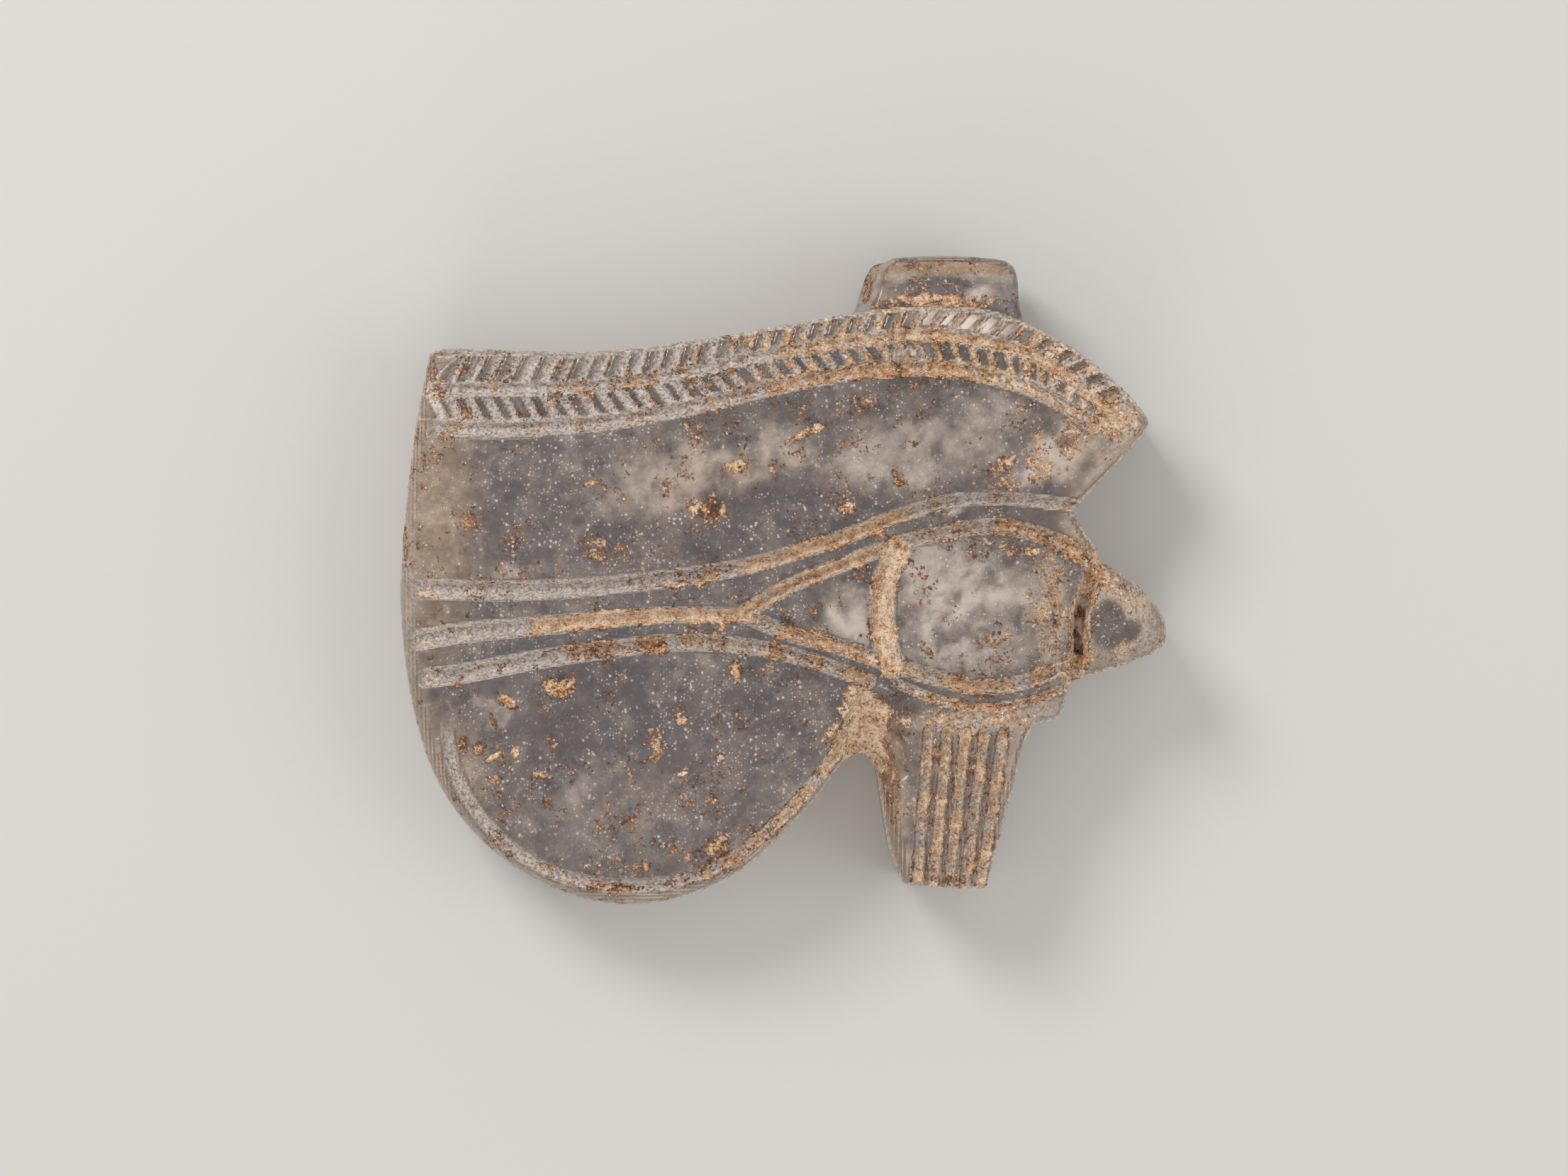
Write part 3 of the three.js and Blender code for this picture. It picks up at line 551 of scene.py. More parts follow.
def inside_sides(x, y, starts, ends):
    """True inside closed rings given by their sides: an odd number of sides passes to the right."""
    rise = np.where(ends[:, 1] == starts[:, 1], 1e-9, ends[:, 1] - starts[:, 1])

    def work(px, py):
        spans = (starts[:, 1] > py[:, None]) != (ends[:, 1] > py[:, None])
        cross = starts[:, 0] + (py[:, None] - starts[:, 1]) * (ends[:, 0] - starts[:, 0]) / rise
        return (spans & (px[:, None] < cross)).sum(1) % 2 == 1
    return in_chunks(work, x, y)


def spread(x, y, places):
    """The strongest of several soft ellipses: full inside, fading out past the rim."""
    total = np.zeros_like(x)
    for (cx, cy), length, width, turn, strength in places:
        cos, sin = math.cos(math.radians(turn)), math.sin(math.radians(turn))
        dx, dy = x / HUNDREDTH - cx, y / HUNDREDTH - cy
        reach = np.hypot((dx * cos + dy * sin) / length, (dy * cos - dx * sin) / width)
        total = np.maximum(total, strength * smooth(reach, 1.5, 0.4))
    return total


def dome_height(x, y):
    """The dome of the front: the thickness less the drop times the squared distance from its
    centre, in shares of its radii."""
    centre, radii = np.array(DOME_CENTRE) * HUNDREDTH, np.array(DOME_RADII) * HUNDREDTH
    across, up = (x - centre[0]) / radii[0], (y - centre[1]) / radii[1]
    return THICKNESS - DOME_DROP * (across ** 2 + up ** 2)


def round_edge(distance, width, depth):
    """The drop of a rounded edge: a quarter of an ellipse from the full depth at the edge to
    nothing at its width."""
    share = 1 - np.clip(distance / width, 0, 1)
    return depth * (1 - np.sqrt(np.clip(1 - share ** 2, 0, 1)))


class Face:
    """The carved face on a grid: the plan of its points, the cells that are stone, and at each point
    the front, the back, and how much frost, crust, warmth, milky clouds with painted highlights, and
    painted shade is there."""

    def __init__(self, step, ripple):
        self.step = step
        self.ripple = ripple
        self.trace_outline()
        self.lay_grid()
        self.carve()
        self.stain()

    def trace_outline(self):
        """The stone's outline and the lug's, with the rounding of each place of the edge."""
        rings, edges = [], []
        for places, start, end in OUTLINE:
            path = spline(places, FINE_STEP)
            rings.append(path[:-1])
            edges.append(np.linspace(start, end, len(path))[:-1])
        self.ring = np.concatenate(rings)
        widths = np.concatenate(edges)
        padded = np.concatenate([widths[-EDGE_REACH:], widths, widths[:EDGE_REACH]])
        kernel = np.ones(2 * EDGE_REACH + 1) / (2 * EDGE_REACH + 1)
        self.edge = np.stack([np.convolve(padded[:, i], kernel, "valid") for i in range(2)], 1)
        self.lug = spline(LUG, FINE_STEP)
        whole = np.concatenate([self.ring, self.lug])
        self.middle = (whole.min(0) + whole.max(0)) / 2
        bare = self.ring[~within(*self.ring.T, self.lug)]
        crown = self.lug[~within(*self.lug.T, self.ring)]
        self.border = np.concatenate([bare, crown])

    def lay_grid(self):
        """An even grid over the stone. Cells whose middle is stone are kept, the grid points on
        their border move onto the outline, and their neighbours even out between them."""
        low, high = self.border.min(0) - 4 * self.step, self.border.max(0) + 4 * self.step
        xs = np.arange(low[0], high[0], self.step)
        ys = np.arange(low[1], high[1], self.step)
        x, y = np.meshgrid(xs, ys, indexing="ij")
        self.origin = low
        cx, cy = x[:-1, :-1] + self.step / 2, y[:-1, :-1] + self.step / 2
        stone = within(cx.ravel(), cy.ravel(), self.ring) | within(cx.ravel(), cy.ravel(), self.lug)
        self.cells = tidy_cells(stone.reshape(cx.shape))
        self.used, whole = points_of(self.cells)
        rim = self.used & ~whole
        x[rim], y[rim] = self.settled(x[rim], y[rim], numbered(rim)).T
        depth = self.used.astype(int)
        inner = whole.copy()
        for _ in range(2):
            inner = whole & np.logical_and.reduce(shifted(inner))
            depth += inner
        soft = whole & (depth < 3)
        for _ in range(3):
            mean_x, mean_y = [sum(shifted(values)) / 4 for values in (x, y)]
            x[soft], y[soft] = mean_x[soft], mean_y[soft]
        self.x, self.y = x, y
        self.near = self.used.copy()
        for _ in range(3):
            self.near = grown(self.near)

    def settled(self, x, y, numbers):
        """Points of the grid's border moved onto the outline, and evened out along it: each moves
        half the way to the mean of the one before it and the one after it."""
        start, end = border_edges(self.cells, numbers)
        before, after = np.empty(len(x), int), np.empty(len(x), int)
        after[start], before[end] = end, start
        spots = np.stack([x, y], 1)
        for _ in range(4):
            spots = self.border[closest(*spots.T, self.border)]
            for _ in range(2):
                spots = spots / 2 + (spots[before] + spots[after]) / 4
        return spots

    def carve(self):
        """The heights of the front and the back, and the frost of the cuts. The front is the dome,
        less the deeper of the edge's rounding and the cuts, less the chips and the sunk facets."""
        x, y = self.x[self.near], self.y[self.near]
        inside = within(x, y, self.ring)
        near = closest(x, y, self.ring)
        gap = np.hypot(x - self.ring[near, 0], y - self.ring[near, 1])
        self.rim_gap = np.where(inside, gap, 0)
        width, depth = self.edge[near].T
        dome = dome_height(x, y)
        self.sides = {}
        cut = np.zeros_like(x)
        frost = np.zeros_like(x)
        for name, (places, start, end, deep, ground) in LINES.items():
            aside, share = beside(x, y, spline(places, LINE_STEP))
            half = (start + (end - start) * share) / 2
            reach = np.abs(aside) / half
            run = SOFT_STARTS.get(name)
            begun = smooth(share, -0.2 * run, run) if run else 1
            cut = np.maximum(cut, deep * begun * smooth(reach, *CUT))
            frost = np.maximum(frost, ground * begun * smooth(reach, *CUT_FROST))
            self.sides[name] = (aside, share, half)
        hatch, hatch_frost = self.hatching(x, y)
        flute, flute_frost = self.flutes(x, y)
        cut = np.maximum(cut, np.maximum(hatch, flute))
        sunk = np.zeros_like(x)
        for corners, start, end, (shallow, deep) in SUNK.values():
            ring = np.array(corners, float) * HUNDREDTH
            start, end = np.array(start) * HUNDREDTH, np.array(end) * HUNDREDTH
            fall = end - start
            share = ((x - start[0]) * fall[0] + (y - start[1]) * fall[1]) / (fall @ fall)
            fallen = np.clip(shallow + (deep - shallow) * share, 0, None)
            sunk = np.maximum(sunk, np.where(within(x, y, ring), fallen, 0))
        self.sunk = sunk
        aside, share = beside(x, y, spline(LOOP_SIDE, LINE_STEP))
        self.sides["loop_side"] = (aside, share, LOOP_SIDE_HALF)
        flank = (share > 0) & (share < 1) & (aside < 0)
        sunk = np.maximum(sunk, np.where(flank, round_edge(-aside, *LOOP_EDGE), 0))
        drop = round_edge(self.rim_gap, width, depth)
        iris = spread(x, y, [(IRIS_CENTRE, IRIS_RADIUS, IRIS_RADIUS, 0, 1)])
        ripple = self.ripple * (fractal(x, y, 2.6, 3, SEED) - 0.5) * 2
        granules = 0.02 * frost * (fractal(x, y, 0.2, 2, SEED + 9) - 0.5)
        chips = sum(
            deep * smooth(np.hypot(x - cx * HUNDREDTH, y - cy * HUNDREDTH)
                          * (0.7 + 0.6 * value_noise(x, y, 0.25, SEED + 3)), size, size * 0.3)
            for (cx, cy), size, deep in CHIPS
        )
        stone = dome - np.maximum(drop, cut) - chips + IRIS_BULGE * iris + ripple + granules
        fallen = self.fill(np.where(inside, sunk, 0))
        for _ in range(SUNK_ROUNDS):
            fallen = soften(fallen, self.near)
        self.fallen = fallen[self.near]
        stone = stone - self.fallen
        lug_front, lug_back, in_lug = self.lug_heights(x, y)
        in_lug |= ~inside & (ring_gap(x, y, self.lug) < gap)
        front = np.where(inside | (~in_lug), stone, lug_front)
        front = np.where(inside & in_lug, np.maximum(stone, lug_front), front)
        back = np.where(inside | (~in_lug), 0, lug_back)
        self.in_lug = in_lug & ~inside
        self.front = self.fill(front)
        self.back = self.fill(back)
        self.front = np.where(self.used, soften(self.front, self.used), self.front)
        self.frost_base = np.maximum(frost, np.maximum(hatch_frost, flute_frost))

    def fill(self, values):
        """Values at the near points, as a whole grid."""
        grid = np.zeros(self.x.shape)
        grid[self.near] = values
        return grid

    def hatching(self, x, y):
        """The slanting cuts of the brow's band, and the frost of their ground. Along the middle line
        the cuts repeat evenly; each leans on by its slant as it leaves the line."""
        aside, share, _ = self.sides["band"]
        band = spline(LINES["band"][0], LINE_STEP)
        length = np.hypot(*np.diff(band, axis=0).T).sum()
        count = math.floor(length / HATCH_PITCH)
        cuts, ground = np.zeros_like(x), np.zeros_like(x)
        self.hatched = np.zeros_like(x)
        jitter = np.random.default_rng(SEED).normal(0, 1, (2, 2, count + 4))
        rows = ((1, self.ring, UPPER_REACH), (-1, spline(LINES["brow"][0], LINE_STEP), LOWER_REACH))
        for row, (side, outer, (near, far)) in enumerate(rows):
            gap = np.interp(share, np.linspace(0, 1, len(band)), ring_gap(*band.T, outer))
            height = side * aside
            phase = (share * length - height * math.tan(HATCH_SLANT)) / length * count
            number = np.clip(np.round(phase).astype(int), 0, count)
            off = phase - number - 0.05 * jitter[0, row][number]
            off = off * HATCH_PITCH * math.cos(HATCH_SLANT)
            narrowed = 1 - 0.34 * between(share, 0.66, 0.84, 0.02)
            width = HATCH_WIDTH * narrowed * (1 + 0.1 * jitter[1, row][number])
            out = height / gap
            reach = smooth(out, near - 0.06, near + 0.04) * smooth(out, far + 0.05, far - 0.05)
            real = (number > 0) & (number < count)
            shape = smooth(np.abs(off) / (width / 2), *HATCH_CUT) * reach * real
            cuts = np.maximum(cuts, HATCH_DEPTH * shape)
            field = smooth(out, 0, 0.05) * smooth(out, far + 0.1, far)
            facet = smooth(np.abs(off) / (width / 2), 0.75, 1.1) * reach
            ground = np.maximum(ground, 0.9 * field * (1 - facet))
            self.sides[f"hatch{row}"] = (off, reach * real, width / 2)
            self.hatched = np.maximum(self.hatched, reach * real)
        return cuts, ground

    def flutes(self, x, y):
        """The flutes of the tear, spread evenly between its sides from its top to its foot."""
        top = np.array(FLUTE_TOP) * HUNDREDTH
        foot = np.array(FLUTE_FOOT) * HUNDREDTH
        cuts, ground = np.zeros_like(x), np.zeros_like(x)
        half = FLUTE_WIDTH / 2
        closest_aside = np.full(x.shape, LINE_REACH)
        for share in np.linspace(0, 1, FLUTE_COUNT):
            start, end = top[0] + (top[1] - top[0]) * share, foot[0] + (foot[1] - foot[0]) * share
            path = np.linspace(start, end, 60)
            aside, _ = beside(x, y, path)
            shape = smooth(np.abs(aside) / half, *FLUTE_CUT)
            cuts = np.maximum(cuts, FLUTE_DEPTH * shape)
            ground = np.maximum(ground, 0.8 * shape)
            closest_aside = np.minimum(closest_aside, np.abs(aside))
        self.sides["flutes"] = (closest_aside, None, half)
        return cuts, ground

    def lug_heights(self, x, y):
        """The lug's front and back: flat, with a half-round crest, and a left end that leans."""
        in_lug = within(x, y, self.lug)
        gap = np.where(in_lug, ring_gap(x, y, self.lug), 0)
        radius = LUG_THICKNESS / 2
        centre_y = LUG_CREST * HUNDREDTH - radius
        centre_z = LUG_BACK + radius
        past = np.clip(y - centre_y, 0, None) * (1 - LUG_FLAT / radius)
        rise = np.sqrt(np.clip(radius ** 2 - past ** 2, 0, None))
        front = centre_z + rise - round_edge(gap, *LUG_EDGE)
        left_end = np.array(LUG[2:7]) * HUNDREDTH
        past_end = x - np.interp(y, *left_end.T[::-1])
        lean = LUG_THICKNESS * np.maximum(past_end, 0) / LUG_LEAN
        front = np.minimum(front, LUG_BACK + LUG_STEP + lean)
        back = centre_z - rise
        return np.maximum(front, back + 0.15), back, in_lug

    def stain(self):
        """Where frost, crust, tan and warm stain, milky clouds with painted highlights, painted shade
        and haze lie, and the heights that the veils follow. Crust is laid in steps, each where it is
        thicker than what lies there."""
        x, y = self.x[self.near], self.y[self.near]
        fine = fractal(x, y, 0.3, 2, SEED + 21)
        coarse = fractal(x, y, 0.9, 3, SEED + 31)
        ragged = 0.7 + 0.6 * fractal(x, y, 0.7, 3, SEED + 35)
        cover = BROAD_COVER + 0.22 * (fractal(x, y, 4, 2, SEED + 41) - 0.5)
        tone = 0.25 + 0.4 * coarse
        bent_x = x + 1.3 * (fractal(x, y, 1.5, 3, SEED + 45) - 0.5)
        bent_y = y + 1.3 * (fractal(x, y, 1.5, 3, SEED + 46) - 0.5)

        def lay(amount, shade):
            """Crust of a cover and a tone, where it is thicker than what lies there."""
            nonlocal cover, tone
            tone = np.where(amount > cover, shade, tone)
            cover = np.maximum(cover, amount)

        for name, start, end, amount, colour in CRUST_ALONG:
            aside, share, half = self.sides[name]
            span = between(share, start, end, 0.015)
            # no fading at a line's own ends
            if start == 0:
                span = smooth(share, end + 0.015, end - 0.015)
            if end == 1:
                span = np.where(share > 0.5, 1, span)
            shade = colour + 0.5 * (coarse - 0.5)
            lay(amount * span * smooth(np.abs(aside) / half * ragged, *CUT_CRUST), shade)
        for name, start, end, side, amount in BROWN_ALONG:
            aside, share, half = self.sides[name]
            span = between(share, start, end, 0.02)
            line = np.exp(-((side * aside - 0.95 * half * ragged) / BROWN_WIDTH) ** 2)
            lay(amount * span * line * smooth(coarse, 0.25, 0.6) * 1.2, 0.72)
        aside, share, half = self.sides["loop_side"]
        side_cover = smooth(np.abs(aside) / half * ragged, *SIDE_CRUST) * (share > 0) * (share < 1)
        lay(LOOP_SIDE_COVER * side_cover, 0.35)
        share = self.sides["band"][1]
        crusted = smooth(share, 0.36, 0.5) * smooth(share, 0.92, 0.82)
        for row in ("hatch0", "hatch1"):
            off, reach, half = self.sides[row]
            lay((0.16 + 0.4 * crusted) * reach * smooth(np.abs(off) / half, *HATCH_CRUST), 0.3)
            lay(0.6 * reach * np.exp(-((off - half) / 0.06) ** 2), 0.78)
        aside, _, half = self.sides["flutes"]
        lay(FLUTE_COVER * smooth(aside / half * ragged, *FLUTE_CRUST), 0.2)
        lay(0.55 * np.exp(-((aside - half * ragged) / BROWN_WIDTH) ** 2), 0.68)
        beside_tear = smooth(bent_x / HUNDREDTH, 15, 12.5)
        lay(WEB_COVER * smooth(self.fallen, 0.45, 1.1) * beside_tear, 0.42)
        lay(FLANK_COVER * spread(bent_x, bent_y, FLANK_AREAS), 0.5)
        for centre, length, width, turn, amount, colour in PATCHES:
            lay(spread(x, y, [(centre, length, width, turn, amount)]), colour)
        self.crust = self.fill(cover + 0.8 * (coarse - 0.5) + 0.4 * (fine - 0.5) - 0.5)
        self.tone = self.fill(np.clip(tone + 0.25 * (fine - 0.5), 0, 1))
        crest = smooth(y, (LUG_CREST - 5) * HUNDREDTH, (LUG_CREST - 2) * HUNDREDTH)
        # painted highlights, kept free of tan stain and given thick pale haze below
        light = spread(x, y, PAINTED_HIGHLIGHTS)
        tan = 0.85 * smooth(cover + 0.5 * (coarse - 0.5), 0.3, 0.85)
        tan = np.maximum(tan, np.maximum(crest, spread(x, y, TAN_AREAS))) * (1 - light)
        self.tan = self.fill(tan)
        clear = spread(x, y, CLEAR_AREAS)
        margin = smooth(self.rim_gap, *MARGIN) * ~self.in_lug
        ground = np.maximum(self.frost_base, spread(x, y, FROST_AREAS))
        ground = np.maximum(ground, 0.62 * smooth(self.rim_gap, *EDGE_FROST) * ~self.in_lug)
        ground = np.clip(ground * (0.7 + 0.6 * coarse) - clear, 0, 1)
        self.frost = self.fill(ground)
        warm = np.maximum(0.75 * margin, spread(x, y, WARM_AREAS))
        self.warm = self.fill(np.clip(warm * (0.6 + 0.8 * coarse) - 0.7 * clear, 0, 1))
        torn = smooth(fractal(bent_x, bent_y, 0.9, 4, SEED + 51), 0.25, 0.6)
        # milky clouds, some of which are painted highlights
        cloudy = spread(bent_x, bent_y, CLOUDS_AND_HIGHLIGHTS) * (0.2 + 0.65 * torn)
        self.cloud_and_highlight = self.fill(cloudy)
        uneven = 0.6 + 0.8 * fractal(x, y, 3, 2, SEED + 61)
        # painted shade: the stone darker in the listed areas
        self.smoke_and_shade = self.fill(spread(x, y, PAINTED_SHADE_AREAS) * uneven)
        haze = np.maximum(0.6 * cloudy, np.maximum(0.42 * margin, 0.3 * spread(x, y, WARM_AREAS)))
        haze = haze * (1 - 0.8 * self.hatched)
        # the painted highlights get thick pale haze, and the lug's crest half as much
        haze = np.maximum(haze, np.maximum(0.5 * crest, 0.9 * light))
        self.haze = self.fill(np.clip(haze + HAZE_ALL - 0.5 * clear, 0, 1))
        self.dome = self.fill(dome_height(x, y) - 0.5 * np.clip(self.sunk, 0, 1))
        self.depth = self.fill(np.where(self.in_lug, 0, self.rim_gap))
        self.open = self.fill(1 - smooth(np.maximum(self.frost_base, self.lug_foot(x, y)), 0.1, 0.5))

    def lug_foot(self, x, y):
        """1 close to the step where the lug meets the stone."""
        gap = ring_gap(x, y, self.ring)
        return np.where(within(x, y, self.lug), smooth(gap, 0.3, 0.1), 0)

    def sample(self, grid, x, y):
        """A grid's values at any place of the plan, straight between its points."""
        u = np.clip((x - self.origin[0]) / self.step, 0, grid.shape[0] - 1.001)
        v = np.clip((y - self.origin[1]) / self.step, 0, grid.shape[1] - 1.001)
        i, j = u.astype(int), v.astype(int)
        u, v = u - i, v - j
        left = grid[i, j] * (1 - v) + grid[i, j + 1] * v
        right = grid[i + 1, j] * (1 - v) + grid[i + 1, j + 1] * v
        return left * (1 - u) + right * u


def ring_gap(x, y, ring):
    """How far each point is from a ring."""
    near = closest(x, y, ring)
    return np.hypot(x - ring[near, 0], y - ring[near, 1])


def shifted(grid):
    """A grid moved one step each of four ways."""
    return [np.roll(grid, step, axis) for axis in (0, 1) for step in (1, -1)]


def grown(mask):
    """A mask with its neighbours added."""
    return mask | np.logical_or.reduce(shifted(mask))


def soften(grid, mask):
    """A grid with each point moved part of the way to the mean of its neighbours in the mask."""
    weight = mask.astype(float)
    total = sum(shifted(grid * weight))
    count = np.maximum(sum(shifted(weight)), 1)
    return 0.5 * grid + 0.5 * total / count


def points_of(cells):
    """The grid points that any of these cells uses, and those with cells all round."""
    padded = np.pad(cells, 1)
    around = (padded[:-1, :-1], padded[1:, :-1], padded[:-1, 1:], padded[1:, 1:])
    return np.logical_or.reduce(around), np.logical_and.reduce(around)


def tidy_cells(cells):
    """Cells without those that hang on by less than two sides or touch others only by a corner."""
    for _ in range(6):
        sides = sum(side.astype(int) for side in shifted(cells))
        cells = cells & (sides >= 2)
        right, up = np.roll(cells, -1, 0), np.roll(cells, -1, 1)
        both = np.roll(right, -1, 1)
        pinch = (cells & both & ~right & ~up) | (~cells & ~both & right & up)
        cells = cells & ~pinch & ~np.roll(pinch, 1, 0)
    return cells


def border_edges(cells, numbers):
    """The grid edges on the border of a set of cells, as the numbers of their start and end points,
    with the cells on their left."""
    i, j = np.nonzero(cells)
    sides = []
    for di, dj, start, end in (
        (0, -1, (0, 0), (1, 0)), (1, 0, (1, 0), (1, 1)), (0, 1, (1, 1), (0, 1)), (-1, 0, (0, 1), (0, 0)),
    ):
        bare = ~cells[i + di, j + dj]
        a, b = i[bare], j[bare]
        sides.append(np.stack([a + start[0], b + start[1], a + end[0], b + end[1]], 1))
    edges = np.concatenate(sides)
    return numbers[edges[:, 0], edges[:, 1]], numbers[edges[:, 2], edges[:, 3]]


def numbered(mask):
    """A grid that numbers the points of a mask, in order, and is -1 elsewhere."""
    numbers = np.full(mask.shape, -1)
    numbers[mask] = np.arange(mask.sum())
    return numbers


def cell_quads(cells, numbers):
    """The four corners of each cell, anticlockwise from above."""
    i, j = np.nonzero(cells)
    return np.stack([numbers[i, j], numbers[i + 1, j], numbers[i + 1, j + 1], numbers[i, j + 1]], 1)


def make_piece(name, points, faces, label):
    """A mesh object at the origin from points in millimetres, shaded smooth."""
    mesh = bpy.data.meshes.new(name)
    mesh.from_pydata((points * MM).tolist(), [], faces)
    mesh.validate()
    mesh.shade_smooth()
    piece = bpy.data.objects.new(name, mesh)
    bpy.context.scene.collection.objects.link(piece)
    piece["what"] = label
    return piece


def put_values(mesh, name, values):
    """A number for each vertex, under a name that the material reads."""
    layer = mesh.attributes.new(name, "FLOAT", "POINT")
    layer.data.foreach_set("value", np.asarray(values, np.float32))


def finish_piece(piece, material):
    """Gives a piece its material and fixes it to the stone's body."""
    piece.data.materials.append(material)
    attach(piece, BODY)


def make_film(name, label, surface, values, material):
    """A film on the stone: its points and faces, what it holds at each point, and its material."""
    points, faces, pick = surface
    piece = make_piece(name, points, faces, label)
    for kind, grid in values.items():
        put_values(piece.data, kind, pick(grid))
    finish_piece(piece, material)


@functools.cache
def carved_face(step, ripple):
    """The face worked out once for all pieces."""
    return Face(step, ripple)


def current_face():
    """The face at the sizes that are set."""
    return carved_face(sizes().step, sizes().ripple)


def stone_surface(face):
    """The closed surface of the stone: the front's cells, walls down from their border with a
    rounded foot, and a back of triangles. Returns the points and faces."""
    numbers = numbered(face.used)
    top = np.stack([face.x, face.y, face.front], -1)[face.used]
    quads = cell_quads(face.cells, numbers)
    start, end = border_edges(face.cells, numbers)
    rim = np.unique(start)
    slot_of = np.full(len(top), -1)
    slot_of[rim] = np.arange(len(rim))
    edge_top, edge_back = top[rim], face.back[face.used][rim]
    lug = face.fill(face.in_lug.astype(float))[face.used][rim] > 0.5
    outward = outward_at(face, edge_top)
    levels = np.array([0.12, 0.3, 0.5, 0.7, 0.86, 0.95, 1])
    drop = (edge_top[:, 2] - edge_back)[:, None] * levels
    height = edge_top[:, 2][:, None] - drop
    rise = np.clip(1 - (height - edge_back[:, None]) / BACK_ROUND, 0, 1)
    inset = np.where(lug, 0, BACK_INSET)[:, None] * (1 - np.sqrt(1 - rise ** 2))
    x = edge_top[:, 0][:, None] - outward[:, 0][:, None] * inset
    y = edge_top[:, 1][:, None] - outward[:, 1][:, None] * inset
    walls = np.stack([x.T, y.T, height.T], -1).reshape(-1, 3)
    columns = [np.arange(len(top))[rim]]
    columns += [len(top) + k * len(rim) + np.arange(len(rim)) for k in range(len(levels))]
    sides = []
    for upper, lower in zip(columns[:-1], columns[1:]):
        a, b = slot_of[start], slot_of[end]
        sides.append(np.stack([lower[a], lower[b], upper[b], upper[a]], 1))
    foot = columns[-1]
    foot_points = walls[-len(rim):]
    inner = back_points(face)
    flat = [Vector(place) for place in np.concatenate([foot_points[:, :2], inner[:, :2]]).tolist()]
    ties = np.stack([slot_of[start], slot_of[end]], 1).tolist()
    spots, _, triangles, origins, _, _ = delaunay_2d_cdt(flat, ties, [], 0, 1e-7, True)
    if len(spots) != len(flat):
        raise RuntimeError(f"the back's edge crosses itself: {len(spots)} places from {len(flat)}")
    first = np.array([group[0] for group in origins])
    triangles = first[np.array(triangles)]
    middles = np.array([tuple(place) for place in flat])[triangles].mean(1)
    ends = np.array(ties)
    outline = foot_points[:, :2]
    triangles = triangles[inside_sides(*middles.T, outline[ends[:, 0]], outline[ends[:, 1]])]
    joined = np.concatenate([foot, len(top) + len(walls) + np.arange(len(inner))])
    back = joined[triangles][:, ::-1]
    points = np.concatenate([top, walls, inner])
    points[:, :2] -= face.middle
    return points, quads.tolist() + np.concatenate(sides).tolist() + back.tolist()


def outward_at(face, places):
    """Directions out of the stone at places on its border, evened out along the outline."""
    def normals(ring, closed):
        reach, index = 8, np.arange(len(ring))
        before, after = index - reach, index + reach
        if closed:
            before, after = before % len(ring), after % len(ring)
        slope = ring[np.minimum(after, len(ring) - 1)] - ring[np.maximum(before, 0)]
        slope /= np.maximum(np.hypot(*slope.T)[:, None], 1e-9)
        return np.stack([-slope[:, 1], slope[:, 0]], 1)
    rings = np.concatenate([face.ring, face.lug])
    ways = np.concatenate([normals(face.ring, True), normals(face.lug, False)])
    return ways[closest(places[:, 0], places[:, 1], rings)]


def back_points(face):
    """Points of the back inside its edge: wide apart on the flat, close on the lug's round crest."""
    sets = []
    for gap, in_lug in ((1.1, False), (0.3, True)):
        low, high = face.border.min(0), face.border.max(0)
        x, y = np.meshgrid(np.arange(low[0], high[0], gap), np.arange(low[1], high[1], gap))
        x, y = x.ravel(), y.ravel()
        clear = ring_gap(x, y, face.border) > 0.45 * gap + 0.2
        stone = within(x, y, face.ring)
        if in_lug:
            stone = within(x, y, face.lug) & ~stone
        x, y = x[clear & stone], y[clear & stone]
        height = face.lug_heights(x, y)[1] if in_lug else np.zeros_like(x)
        sets.append(np.stack([x, y, height], 1))
    return np.concatenate(sets)


def tube(start, end, radius, sides):
    """A closed round bar between two points along X: circles at both ends, and a cap on each."""
    turn = np.linspace(0, 2 * math.pi, sides, endpoint=False)
    circle = np.stack([radius * np.cos(turn), radius * np.sin(turn)], 1)
    ends = [np.column_stack([np.full(sides, x), circle[:, 0] + start[1], circle[:, 1] + start[2]])
            for x in (start[0], end[0])]
    ring = np.arange(sides)
    after = np.roll(ring, -1)
    walls = np.stack([ring, after, after + sides, ring + sides], 1)[:, ::-1]
    return np.concatenate(ends), walls.tolist() + [ring.tolist(), (ring + sides)[::-1].tolist()]


def thinned(cells):
    """Cells twice as wide, each where all four of the small ones are there."""
    rows, columns = cells.shape[0] // 2, cells.shape[1] // 2
    return cells[:2 * rows, :2 * columns].reshape(rows, 2, columns, 2).all((1, 3))


def skin_surface(face, level, top, bottom, stride=1):
    """A thin closed surface over the part of the face where the level is above zero: its upper and
    its lower side follow the given heights, with narrow walls between them. With a stride of 2 it
    has every second point. Returns the points, the faces, and a function that picks a grid's values
    at the points."""
    def coarse(grid):
        return grid[::stride, ::stride]

    above = coarse(level) > 0
    cells = face.cells if stride == 1 else thinned(face.cells)
    cells = cells & (above[:-1, :-1] | above[1:, :-1] | above[:-1, 1:] | above[1:, 1:])
    cells = tidy_cells(cells)
    used, _ = points_of(cells)
    numbers = numbered(used)
    count = used.sum()
    quads = cell_quads(cells, numbers)
    start, end = border_edges(cells, numbers)
    walls = np.stack([start + count, end + count, end, start], 1)
    plan = [coarse(face.x)[used] - face.middle[0], coarse(face.y)[used] - face.middle[1]]
    points = np.concatenate([np.stack(plan + [coarse(side)[used]], 1) for side in (top, bottom)])
    faces = np.concatenate([quads, quads[:, ::-1] + count, walls])
    return points, faces.tolist(), lambda grid: np.tile(coarse(grid)[used], 2)


